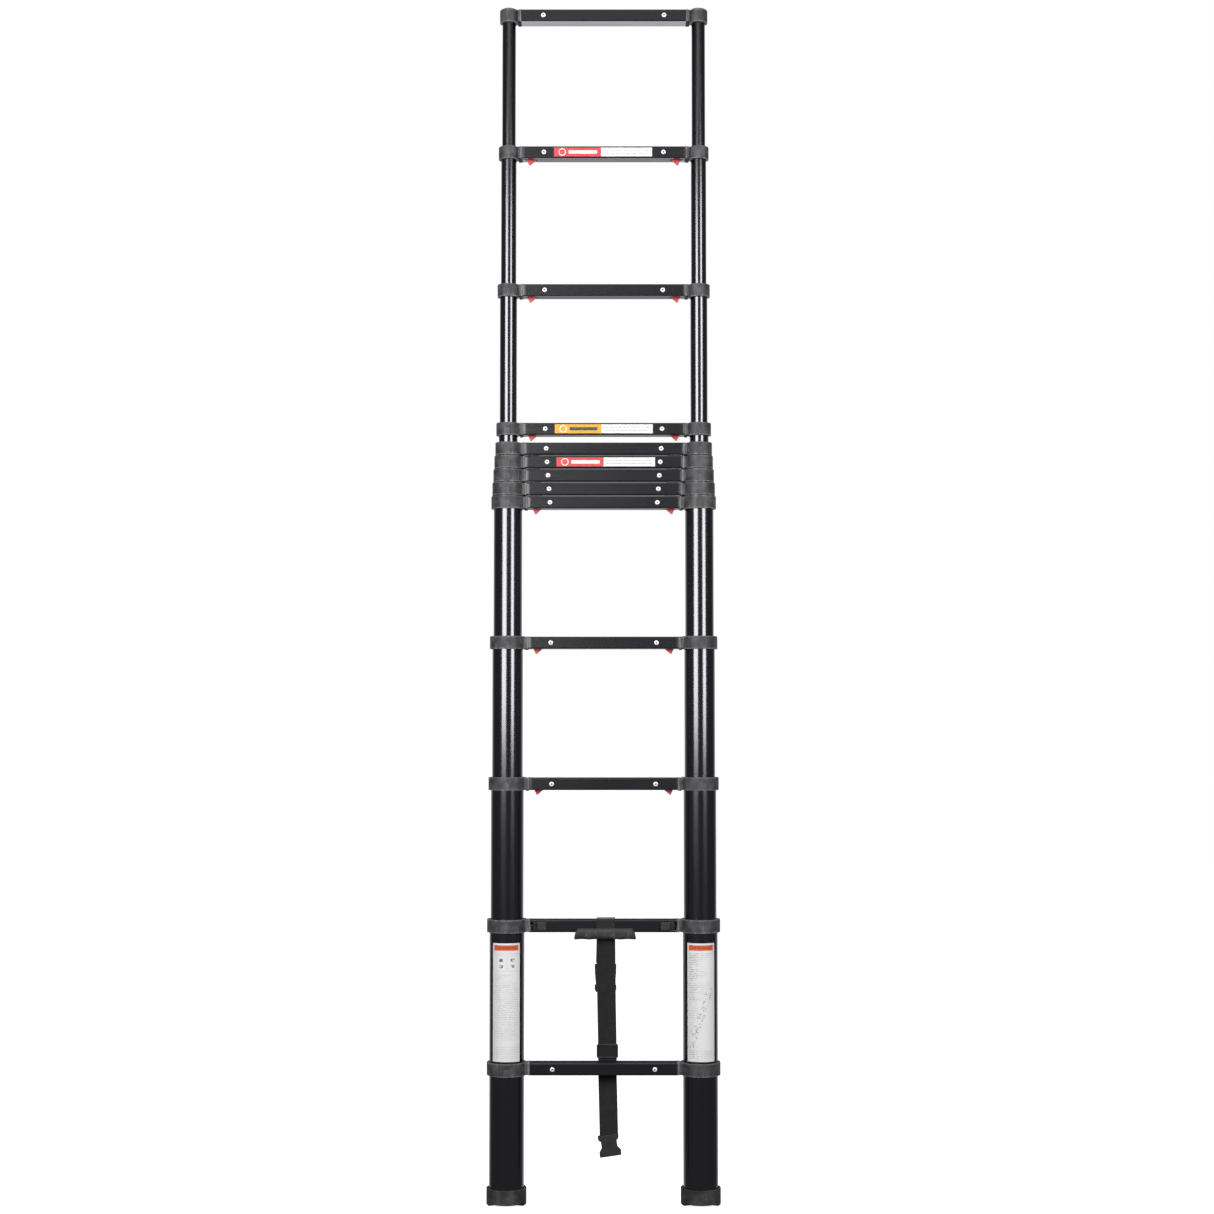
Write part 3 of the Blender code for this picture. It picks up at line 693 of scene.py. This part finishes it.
# Release bars: red moulded bars inside rungs 2 to 11, with a wedge under each end that comes out of
# the rung's underside. The rung below pushes it in and so lets the next section down.

WEDGE_OUTER, WEDGE_TIP, WEDGE_INNER = 0.010, 0.0152, 0.0284
WEDGE_OUT = 0.0106
WEDGE_HALF_DEPTH = 0.0045
BAR_LOW, BAR_HIGH = 0.0019, 0.0049
BAR_BEYOND = 0.0044
RED = (0.62, 0.085, 0.080, 1)
# The red of the painted shade near the bar.
RED_SHADED = (0.36, 0.016, 0.016, 1)


def wedge(reach):
    """A tooth with a steep outer side, a long inner slope and a rounded tip. Its sharp corner lies
    lower by what the rounding takes off."""
    inner, outer, root = reach - WEDGE_INNER, reach - WEDGE_OUTER, BAR_LOW + 0.001
    corners = [(inner, root), (inner, 0.0), (reach - WEDGE_TIP, -WEDGE_OUT - 0.0009), (outer, 0.0)]
    corners += [(outer, root)]
    outline = filleted(corners, [0.0003, 0.0006, 0.0017, 0.0006, 0.0003], 7)
    return prism(outline, -WEDGE_HALF_DEPTH, WEDGE_HALF_DEPTH, "Y", 0.0006)


def red_finish():
    """Red nylon with a soft gloss, and a painted shade that darkens it towards the bar, up in the slot."""
    material, start, place = new_finish("red_nylon")
    grain = start.noise(place, 1500.0, 2.0)
    cloud = start.noise(place, 120.0, 3.0)
    # Painted shade: the red darkens towards the bar, where the wedge goes up into the rung's slot; the
    # cloud varies the tone at random.
    tone = start.field("depth").step(-0.0095, 0.0005) * 0.85 + 0.15 * cloud
    return close_finish(material, start, {
        "Base Color": tone.mix(RED, RED_SHADED),
        "Roughness": 0.32 + 0.14 * grain,
        "Normal": grain.bump(0.00004, 0.4),
    })


red = red_finish()
for rung in range(2, 12):
    reach = reaches[rung]
    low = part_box(f"release_{rung:02d}")[0].z + WEDGE_OUT
    bar_end = reach - WEDGE_OUTER + BAR_BEYOND
    strip = box_outline((-bar_end, BAR_LOW), (bar_end, BAR_HIGH), 0.0006)
    shells = [prism(strip, -WEDGE_HALF_DEPTH, WEDGE_HALF_DEPTH, "Y", 0.0005)]
    shells += [moved(wedge(reach), mirror=(way, 1, 1)) for way in (-1, 1)]
    shells = [moved(shell, (0, 0, low)) for shell in shells]
    piece(f"release_wedges_{rung:02d}", shells, red, f"release_{rung:02d}", [f"release_{rung:02d}"],
          fields={"depth": heights_of(shells) - low})


# Thumb slides: a nylon carriage in each window of rung 12 draws its lock pin back. A ribbed ramp
# takes the thumb, and a block beside it stands out of the rung's face.

CARRIAGE_FROM, CARRIAGE_TO = 0.0055, 0.026
CARRIAGE_SUNK = 0.0012
CARRIAGE_BACK = -0.0042
THUMB_FROM, THUMB_TO = 0.015, 0.0343
THUMB_PROUD = 0.0042
THUMB_HALF = 0.0082
RAMP_RIBS = 4
RIB_SHARE = 0.6
RIB_SHORT = 0.0006
RIB_STEP = 0.0005
BLACK_NYLON = (0.024, 0.024, 0.025, 1)
BLACK_NYLON_DARK = (0.014, 0.014, 0.0145, 1)
# Pale grey for scuffs, and for the painted highlight along top edges.
BLACK_NYLON_SCUFF_AND_HIGHLIGHT = (0.20, 0.20, 0.205, 1)


def thumb_block(end):
    """The block: a plate with round corners and a rounded edge to its face."""
    outline = box_outline((end + THUMB_FROM, -THUMB_HALF), (end + THUMB_TO, THUMB_HALF), 0.0018, 6)
    face = -RUNG_HALF_DEPTH
    return prism(outline, face - THUMB_PROUD, face - 0.0003, "Y", 0.0009, 5)


def thumb_ribs(end):
    """Upright ribs with round edges on the ramp, evenly spaced between its ends, each standing a
    step further out than the last."""
    pitch = (THUMB_FROM - CARRIAGE_FROM) / RAMP_RIBS
    half = THUMB_HALF - RIB_SHORT
    shells = []
    for rib in range(RAMP_RIBS):
        start = end + CARRIAGE_FROM + (rib + (1 - RIB_SHARE) / 2) * pitch
        outline = box_outline((start, -half), (start + RIB_SHARE * pitch, half), 0.0004)
        top = -RUNG_HALF_DEPTH - 0.0004 - RIB_STEP * rib
        shells.append(prism(outline, top, 0.0020 - RUNG_HALF_DEPTH, "Y", 0.0004))
    return shells


black_nylon = nylon_finish("black_moulded_nylon", BLACK_NYLON_DARK, BLACK_NYLON, BLACK_NYLON_SCUFF_AND_HIGHLIGHT)
window_middle = rung_tops[12] - RUNG_HEIGHT / 2
for side in SIDES:
    end = radii[12] + SHOULDER_REACH
    plate = box_outline((end + CARRIAGE_FROM, -THUMB_HALF), (end + CARRIAGE_TO, THUMB_HALF), 0.0008)
    shells = [prism(plate, CARRIAGE_SUNK - RUNG_HALF_DEPTH, CARRIAGE_BACK, "Y", 0.0005)]
    shells += [thumb_block(end), *thumb_ribs(end)]
    placed = [at_stile(shell, side, window_middle) for shell in shells]
    # Heights counted from the block's top put the nylon's pale edge band there: a painted highlight along
    # the top edge, broken by scratches.
    piece(f"thumb_grip_{side}", placed, black_nylon, f"thumb_latch_{side}", [f"thumb_slide_{side}"],
          fields={"height": heights_of(placed) - window_middle - THUMB_HALF})
    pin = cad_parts[f"lock_pin_{side}"]
    pin.data.materials.clear()
    pin.data.materials.append(bright)


# Feet: moulded rubber cups on the base tubes. Ribs run down the wall, the rim is rolled, and the
# sole stands on two wide treads, with its front and back edges a little off the floor.

FOOT_HEIGHT = foot_high.z
FOOT_FLOOR = 0.006
FOOT_ROUND, RIM_ROUND, RIM_INNER_ROUND = 0.0030, 0.0016, 0.0010
FOOT_RIBS = 40
FOOT_RIB_DEPTH = 0.0005
SOLE_RISE = 0.0045
SOLE_FADE = 0.018
FOOT_BLACK = (0.022, 0.022, 0.023, 1)
FOOT_PALE = (0.075, 0.075, 0.077, 1)


def foot(radius):
    """A cup: its radius is the profile's, less a rib wave of the angle on the wall, and its lower
    edge rises towards the front and back by a smooth step of the sine."""
    outer, inner, middle = radius + COLLAR_WALL, radius + LIP_CLEARANCE, 0.02
    low = filleted([(middle, 0.0), (outer, 0.0), (outer, middle)], FOOT_ROUND, 7, closed=False)[1:-1]
    wall = [(outer, level) for level in np.linspace(0.006, FOOT_HEIGHT - 0.006, 8)]
    rim = filleted([(outer, middle), (outer, FOOT_HEIGHT), (inner, FOOT_HEIGHT), (inner, middle)],
                   [0.001, RIM_ROUND, RIM_INNER_ROUND, 0.001], 6, closed=False)[1:-1]
    cup = [(inner, FOOT_FLOOR), (POLE, FOOT_FLOOR)]
    profile = np.vstack([[(POLE, 0.0)], low, wall, rim, cup])
    points, faces, caps = turned(profile, 240, looped=False)
    angle = np.arctan2(points[:, 1], points[:, 0])
    reach = np.hypot(points[:, 0], points[:, 1])
    on_wall = (reach > outer - 0.0001) & (points[:, 2] > 0.004) & (points[:, 2] < FOOT_HEIGHT - 0.005)
    wave = 0.5 - 0.5 * np.cos(FOOT_RIBS * angle)
    shrink = 1 - FOOT_RIB_DEPTH * wave * on_wall / np.maximum(reach, 0.001)
    points = points * np.stack([shrink, shrink, np.ones_like(shrink)], 1)
    side_on = np.clip((np.abs(np.sin(angle)) - 0.45) / 0.25, 0, 1)
    lift = SOLE_RISE * side_on**2 * (3 - 2 * side_on)
    points[:, 2] += lift * np.clip(1 - points[:, 2] / SOLE_FADE, 0, 1) * (reach > inner + 0.001)
    return points, faces, caps


foot_rubber = rubber_finish("foot_rubber", FOOT_BLACK, FOOT_PALE)
for side in SIDES:
    piece(f"rubber_foot_{side}", [at_stile(foot(radii[12]), side, 0.0)], foot_rubber, "base",
          [f"foot_{side}"])


# Carry strap: one black polypropylene webbing, up from its buckle behind the fixed rung, over rung 12
# and down behind it. The slider on it takes up the slack.

STRAP_WIDTH, STRAP_THICKNESS = 0.0385, 0.0018
STRAP_STEP = 0.0012
CORD_PITCH, WEFT_PITCH = 0.0016, 0.0024
WEB_BLACK = (0.0050, 0.0050, 0.0055, 1)
WEB_PALE = (0.018, 0.018, 0.019, 1)
STRAP_OFF = 0.0015
clear = RUNG_HALF_DEPTH + STRAP_OFF
over = rung_tops[12] + STRAP_OFF
STRAP_ROUTE = [
    (0.0110, clear + 0.0005, 0.1330),
    (0.0095, clear + 0.0005, 0.200),
    (0.0079, clear, 0.2640),
    (0.0080, clear, 0.2905),
    (0.0074, clear - 0.0080, 0.3400),
    (0.0060, 0.0, 0.4165),
    (0.0047, -clear, 0.5410),
    (0.0047, -clear, over),
    (0.0047, clear, over),
    (0.0047, clear, 0.5410),
    (0.0034, clear - 0.0010, 0.4900),
]
STRAP_BENDS = [0.001, 0.03, 0.03, 0.03, 0.05, 0.10, 0.02, 0.0022, 0.0022, 0.01, 0.001]


def strap_line():
    """The route with its bends rounded in side view, in even steps, and x shared out along it."""
    route = np.array(STRAP_ROUTE)
    line = filleted(route[:, 1:], STRAP_BENDS, 9, closed=False)
    walked = np.concatenate([[0], np.cumsum(np.linalg.norm(np.diff(line, axis=0), axis=1))])
    steps = np.linspace(0, walked[-1], int(walked[-1] / STRAP_STEP))
    side = np.stack([np.interp(steps, walked, line[:, axis]) for axis in (0, 1)], 1)
    corner = np.linalg.norm(np.diff(route[:, 1:], axis=0), axis=1)
    marks = np.concatenate([[0], np.cumsum(corner)]) * walked[-1] / corner.sum()
    x = np.interp(steps, marks, route[:, 0])
    return np.column_stack([x, side]), steps


def webbing(line):
    """A flat section with round selvedges carried along the line: width along X, thickness along
    the line's normal in side view."""
    half = (STRAP_WIDTH / 2, STRAP_THICKNESS / 2)
    section = box_outline((-half[0], -half[1]), half, STRAP_THICKNESS * 0.49, 5)
    along = np.gradient(line, axis=0)
    away = np.stack([0 * along[:, 0], along[:, 2], -along[:, 1]], 1)
    away /= np.linalg.norm(away, axis=1, keepdims=True)
    across = np.array([1.0, 0.0, 0.0])
    points = line[:, None] + section[None, :, :1] * across + section[None, :, 1:] * away[:, None]
    return grid(points), section


def webbing_finish():
    """A ribbed twill: a sine across the strap for its lengthwise cords, a slanting sine along it for
    the weft that crosses them, and fuzz on top."""
    material, start, place = new_finish("woven_webbing")
    across, along = start.field("across"), start.field("along")
    warp = start.maths("SINE", across * (2 * math.pi / CORD_PITCH))
    slant = along * (2 * math.pi / WEFT_PITCH) + across * (math.pi / CORD_PITCH)
    weft = start.maths("SINE", slant)
    fuzz = start.noise(place, 2600.0, 3.0)
    dust = start.noise(place, 60.0, 4.0)
    threads = 0.5 + 0.25 * warp + 0.25 * weft
    tone = 0.35 * threads + 0.35 * fuzz + 0.4 * dust.step(0.4, 0.8)
    return close_finish(material, start, {
        "Base Color": tone.mix(WEB_BLACK, WEB_PALE),
        "Roughness": 0.80 - 0.12 * threads,
        "Specular IOR Level": 0.3,
        "Sheen Weight": 0.15,
        "Normal": (threads + 0.3 * fuzz).bump(0.00030, 0.7),
    })


line, steps = strap_line()
web, section = webbing(line)
across, along = np.meshgrid(section[:, 0], steps)
strap = piece("strap_webbing", [web], webbing_finish(), "base", ["carry_strap"], 60.0,
              {"across": across, "along": along})


# Carry handle: a moulded grip in front of rung 12, with the strap behind it. Its face breaks at mid
# height, its ends slope, and four finger hollows run along its lower edge.

grip_low, grip_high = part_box("carry_handle")
GRIP_BACK = -0.0213
GRIP_BREAK = 0.0022
GRIP_SLOPE = 0.00625
FINGERS = 4
FINGER_DEPTH = 0.0010


def grip():
    """Rows along the grip: each is a squared ellipse in (y, z) whose front is pulled forward at mid
    height, its underside hollowed by a sine of the place along the grip."""
    share = np.sin(np.linspace(-np.pi / 2, np.pi / 2, 121))[:, None] * 0.9995
    angle = np.linspace(0, 2 * np.pi, 72, endpoint=False)[None, :]
    squared = 2 / 5.0
    wide = np.sign(np.cos(angle)) * np.abs(np.cos(angle)) ** squared
    tall = np.sign(np.sin(angle)) * np.abs(np.sin(angle)) ** squared
    shrink = (1 - np.abs(share) ** 50) ** 0.35
    middle, half = (grip_low + grip_high) / 2, (grip_high - grip_low) / 2
    z = middle.z + half.z * tall * shrink
    hollow = np.abs(np.sin(np.pi * FINGERS * (share * 0.5 + 0.5))) * (np.abs(share) < 0.9)
    z = z + FINGER_DEPTH * hollow * np.clip(-tall, 0, 1) ** 3
    front = grip_low.y + GRIP_BREAK
    middle_y, half_y = (front + GRIP_BACK) / 2, (GRIP_BACK - front) / 2
    y = middle_y + half_y * wide * (0.4 + 0.6 * shrink)
    y = y - GRIP_BREAK * (1 - np.abs(np.sin(angle))) * np.clip(-wide, 0, 1)
    height = (z - grip_low.z) / (grip_high.z - grip_low.z)
    x = middle.x + share * (half.x - GRIP_SLOPE * height)
    return grid(np.stack([x, y, z], -1))


shell = grip()
# Heights counted from the grip's top put the nylon's pale edge band along its top edge, part scuffing and
# part painted highlight.
piece("handle_grip", [shell], black_nylon, "base", ["carry_handle"],
      fields={"height": shell[0][:, 2] - grip_high.z})


# Strap hardware: the slider, the buckle's socket on the lower end and its plug behind the strap's
# upper end, all moulded in black nylon with rounded edges.

HARDWARE_HEIGHT = -0.012
SLIDER_BAR, SLIDER_DEPTH, SLIDER_EDGE = 0.0042, 0.0055, 0.0014
SLIDER_HALF_WIDTH, SLIDER_HALF_HEIGHT, SLIDER_ROUND = 0.0223, 0.0155, 0.003
SOCKET_TILT = math.radians(-8)
SOCKET_HALF_DEPTH, SOCKET_HALF_GAP = 0.006, 0.0036
SOCKET_EDGE, PLUG_EDGE = 0.0012, 0.0008
BUCKLE_ASIDE = 0.0012


def frame_of(outline, width, depth, edge):
    """A bar of rounded section carried round an outline: points go out along the outline's normal
    by the section's first number and along Y by its second."""
    section = box_outline((-width / 2, -depth / 2), (width / 2, depth / 2), edge)
    out = outline - inset(outline, 1.0)
    plane = outline[:, None] + section[None, :, :1] * out[:, None]
    level = np.broadcast_to(section[None, :, 1:], plane.shape[:2] + (1,))
    return grid(np.concatenate([plane[..., :1], level, plane[..., 1:]], -1), looped=True)


def turned_about(shell, axis, angle, centre):
    """A shell turned by an angle about an axis through a centre."""
    points, faces, caps = shell
    turn = np.array(Matrix.Rotation(angle, 3, axis))
    return (points - centre) @ turn.T + centre, faces, caps


def middle_of(node, aside=0.0):
    low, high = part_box(node)
    return np.array((low + high) / 2) + (aside, 0, 0)


def block(low, high, half_depth, edge, radius):
    """A box about the XZ plane, from one corner to the other, with round corners and edges."""
    return prism(box_outline(low, high, radius), -half_depth, half_depth, "Y", edge)


def hardware(name, shells, node):
    piece(name, shells, black_nylon, "base", [node],
          fields={"height": 0 * heights_of(shells) + HARDWARE_HEIGHT})


centre = middle_of("strap_adjuster")
lower, upper = STRAP_ROUTE[3], STRAP_ROUTE[4]
lean = math.atan2(lower[1] - upper[1], upper[2] - lower[2])
half = np.array([SLIDER_HALF_WIDTH, SLIDER_HALF_HEIGHT]) - SLIDER_BAR / 2
outline = box_outline(-half, half, SLIDER_ROUND, 6)
slider = moved(frame_of(outline, SLIDER_BAR, SLIDER_DEPTH, SLIDER_EDGE), centre)
hardware("strap_slider", [turned_about(slider, "X", lean, centre)], "strap_adjuster")

centre = middle_of("buckle_socket", BUCKLE_ASIDE)
waist = [(0.0215, 0.0215), (0.0215, 0.0145), (0.0165, 0.0085)]
waist += [(0.0165, -0.0045), (0.0225, -0.0125), (0.0225, -0.0225)]
outline = filleted(waist + [(-x, z) for x, z in waist[::-1]], 0.0018, 5)
shells = [prism(outline, -SOCKET_HALF_DEPTH, -SOCKET_HALF_GAP, "Y", SOCKET_EDGE)]
shells += [prism(outline, SOCKET_HALF_GAP, SOCKET_HALF_DEPTH, "Y", SOCKET_EDGE)]
shells += [block((-0.0205, 0.0105), (0.0205, 0.0205), 0.005, SOCKET_EDGE, 0.002)]
rail = block((0.0140, -0.0210), (0.0215, -0.0130), 0.005, 0.001, 0.0015)
shells += [rail, moved(rail, mirror=(-1, 1, 1))]
shells = [turned_about(moved(shell, centre), "Y", SOCKET_TILT, centre) for shell in shells]
hardware("buckle_housing", shells, "buckle_socket")

prong = [(0.0050, 0.0290), (0.0050, 0.0130), (0.0140, 0.0130), (0.0152, -0.0225), (0.0185, -0.0300)]
prong += [(0.0225, -0.0230), (0.0225, -0.0150), (0.0200, -0.0120), (0.0220, 0.0100), (0.0225, 0.0290)]
shells = [prism(filleted(np.array(prong) * (way, 1), 0.0010, 4), -0.003, 0.003, "Y", PLUG_EDGE)
          for way in (-1, 1)]
shells += [block((-0.0052, -0.022), (0.0052, 0.029), 0.0028, PLUG_EDGE, 0.002)]
shells += [block((-0.020, low), (0.020, high), 0.0028, PLUG_EDGE, 0.001)
           for low, high in ((0.0135, 0.0175), (0.0262, 0.0298))]
centre = middle_of("buckle_plug", BUCKLE_ASIDE)
hardware("buckle_prongs", [moved(shell, centre) for shell in shells], "buckle_plug")


# Labels: printed vinyl on rungs 2, 4 and 6 and down both base tubes. The print is plain coloured
# fields, marks, and rows of grey bars in place of words.

LABEL_THICKNESS = 0.00025
LABEL_SUNK = 0.0001
LABEL_WHITE = (0.72, 0.72, 0.71, 1)
INK_GREY = (0.30, 0.30, 0.31, 1)
INK_DARK = (0.05, 0.05, 0.05, 1)
WARM_RED = (0.60, 0.050, 0.055, 1)
AMBER = (0.72, 0.34, 0.030, 1)
ORANGE = (0.62, 0.090, 0.020, 1)
RUBBED_GREY = (0.6, 0.6, 0.6, 1)
# For each rung: the label's left end, where its field ends, its right end, and the field's and the
# pale bar's colours.
RUNG_LABELS = {
    2: (-0.1045, -0.0056, 0.1016, WARM_RED, LABEL_WHITE),
    4: (-0.1020, -0.0045, 0.1026, AMBER, INK_DARK),
    6: (-0.0983, 0.0001, 0.1071, WARM_RED, LABEL_WHITE),
}
RUNG_LABEL_HALF = 0.0095
RUNG_PRINT_PITCH = 0.0068
RING_FROM_LEFT, RING_INNER, RING_OUTER = 0.0175, 0.0060, 0.0078
SLAB_HALF = 0.0035
STILE_LABEL_LOW, STILE_LABEL_HIGH = 0.2945, 0.5360
STILE_LABEL_HALF_ARC = 0.031
STILE_PRINT_PITCH = 0.0036
HEADING_HIGH, HEADING_LOW = 0.0040, 0.0150
MARKS_HIGH, MARKS_LOW = 0.024, 0.058
MARK_MIDDLES = (-0.0105, 0.0135)
SLANT_LOW, SLANT_HIGH, SLANT_HALF = 0.024, 0.150, 0.0075


def patch(u, v, place):
    """A thin sheet with a wall: place turns (u, v, depth) into a point, and the outline's points run
    round the sheet on its front and again on its back."""
    front = place(u, v, LABEL_THICKNESS)
    back = place(u, v, -LABEL_SUNK)
    count = u.size
    index = np.arange(count).reshape(u.shape)
    cells = np.stack([index[:-1, :-1], index[:-1, 1:], index[1:, 1:], index[1:, :-1]], -1).reshape(-1, 4)
    rim = np.concatenate([index[0, :-1], index[:-1, -1], index[-1, :0:-1], index[:0:-1, 0]])
    following = np.roll(rim, -1)
    wall = np.stack([rim, rim + count, following + count, following], -1)
    faces = np.vstack([cells, cells[:, ::-1] + count, wall])
    return np.vstack([front.reshape(-1, 3), back.reshape(-1, 3)]), faces, []


def bars(across, along, first, last, pitch, start, row_share):
    """Rows of grey bars: 1 on a bar, with word gaps from a noise that changes with the row."""
    level = (along - start) * (1 / pitch)
    row = across.maths("FLOOR", level)
    within = level - row
    word = across.node("ShaderNodeCombineXYZ", {}, {"X": across * 420.0, "Y": row * 7.3})
    gaps = across.node("ShaderNodeTexNoise", {}, {"Vector": word, "Scale": 1.0, "Detail": 0.0})
    on_bar = (within > 0.5 - row_share / 2) * (within < 0.5 + row_share / 2)
    inside = (across > first) * (across < last)
    return on_bar * inside * (gaps > 0.42)


def rubbed_vinyl(material, start, place, printed, wear, gloss):
    """The print under a clear film that is rubbed in patches."""
    rub = start.noise(place, 240.0, 4.0)
    return close_finish(material, start, {
        "Base Color": (rub.step(0.5, 0.9) * wear).mix(printed, RUBBED_GREY),
        "Roughness": gloss + 0.15 * rub,
        "Normal": rub.bump(0.00003, 0.4),
    })


def rung_label_finish(name, left, divide, right, colour, slab_colour):
    """Printed vinyl for a rung: a coloured field with a ring and a plain slab, then white with bars."""
    material, start, place = new_finish(name)
    x, z = start.field("across"), start.field("along")
    pitch = RUNG_PRINT_PITCH
    print_rows = bars(x, z, divide + 0.006, right - 0.007, pitch, -pitch, 0.42)
    from_ring = x - (left + RING_FROM_LEFT)
    distance = start.maths("SQRT", from_ring * from_ring + z * z)
    ring = (distance < RING_OUTER) * (distance > RING_INNER)
    slab = (x > left + 0.031) * (x < divide - 0.0085) * (z > -SLAB_HALF) * (z < SLAB_HALF)
    white = (print_rows * 0.6).mix(LABEL_WHITE, INK_GREY)
    printed = (x < divide).mix(white, slab.mix(ring.mix(colour, LABEL_WHITE), slab_colour))
    return rubbed_vinyl(material, start, place, printed, 0.2, 0.30)


def stile_label_finish(side):
    """Printed vinyl for a tube: an orange heading and groups of fine bars. The left one has two
    boxed marks, and the right one a slanting row of marks."""
    material, start, place = new_finish(f"stile_label_{side}_vinyl")
    x, z = start.field("across"), start.field("along")
    half = STILE_LABEL_HALF_ARC
    top = STILE_LABEL_HIGH - STILE_LABEL_LOW
    heading = (x > -half + 0.004) * (x < half - 0.004) * (z > top - HEADING_LOW) * (z < top - HEADING_HIGH)
    heading_bar = (x > -half + 0.014) * (x < half - 0.010) * (z > top - 0.0115) * (z < top - 0.0075)
    rows = bars(x, z, -half + 0.005, half - 0.005, STILE_PRINT_PITCH, 0.006, 0.40)
    groups = start.node("ShaderNodeCombineXYZ", {}, {"Z": z * 38.0, "X": x * 12.0})
    rows = rows * start.node("ShaderNodeTexNoise", {}, {"Vector": groups, "Scale": 1.0}).step(0.38, 0.52)
    torn = start.noise(place, 300.0, 3.0)
    if side == "left":
        low, high = top - MARKS_LOW, top - MARKS_HIGH
        marks = 0.0
        for middle in MARK_MIDDLES:
            from_middle = start.maths("ABSOLUTE", x - middle)
            from_centre = start.maths("ABSOLUTE", z - (low + high) / 2)
            outside = start.maths("MAXIMUM", from_middle * 1.5, from_centre)
            outline = (outside > 0.0155) * (outside < 0.0161) * 0.35
            head = (from_middle < 0.0045) * (start.maths("ABSOLUTE", from_centre - 0.0065) < 0.0032)
            marks = outline + head * torn.step(0.46, 0.54) + marks
        plain = (z < low - 0.004) + (z > high + 0.002) * (z < top - 0.019)
    else:
        slant = start.maths("ABSOLUTE", x + 0.026 - (z - 0.020) * 0.36)
        figure = (slant < SLANT_HALF) * (z > SLANT_LOW) * (z < SLANT_HIGH)
        marks = figure * torn.step(0.55, 0.60) * 0.6
        plain = (1.0 - figure) * ((z > 0.125) + (x < -0.006) + (z < SLANT_LOW)) * (z < top - 0.019)
    white = (rows * plain * 0.45).mix(LABEL_WHITE, INK_GREY)
    white = start.maths("MINIMUM", marks, 0.9).mix(white, INK_DARK)
    printed = heading.mix(white, ORANGE)
    printed = (heading_bar * torn.step(0.35, 0.45) * 0.55).mix(printed, INK_DARK)
    return rubbed_vinyl(material, start, place, printed, 0.12, 0.32)


for rung, (left, divide, right, colour, slab_colour) in RUNG_LABELS.items():
    middle = rung_tops[rung] - RUNG_HEIGHT / 2
    u, v = np.meshgrid(np.linspace(left, right, 24), np.linspace(-RUNG_LABEL_HALF, RUNG_LABEL_HALF, 6))
    sheet = patch(u, v, lambda x, z, out: np.stack([x, 0 * x - RUNG_HALF_DEPTH - out, z + middle], -1))
    points = sheet[0]
    finish = rung_label_finish(f"rung_label_{rung:02d}_vinyl", left, divide, right, colour, slab_colour)
    piece(f"rung_label_{rung:02d}", [sheet], finish, body_of_section(rung),
          fields={"across": points[:, 0], "along": points[:, 2] - middle})

radius = radii[12]
arc = np.linspace(-STILE_LABEL_HALF_ARC, STILE_LABEL_HALF_ARC, 40)
u, v = np.meshgrid(arc, np.linspace(STILE_LABEL_LOW, STILE_LABEL_HIGH, 30))
for side in SIDES:
    centre_x = SIDES[side] * stile_x
    sheet = patch(u, v, lambda s, z, out: np.stack([
        centre_x + (radius + out) * np.sin(s / radius),
        -(radius + out) * np.cos(s / radius),
        z,
    ], -1))
    points = sheet[0]
    arc_of = radius * np.arctan2(points[:, 0] - centre_x, -points[:, 1])
    piece(f"stile_label_{side}", [sheet], stile_label_finish(side), "base",
          fields={"across": arc_of, "along": points[:, 2] - STILE_LABEL_LOW})
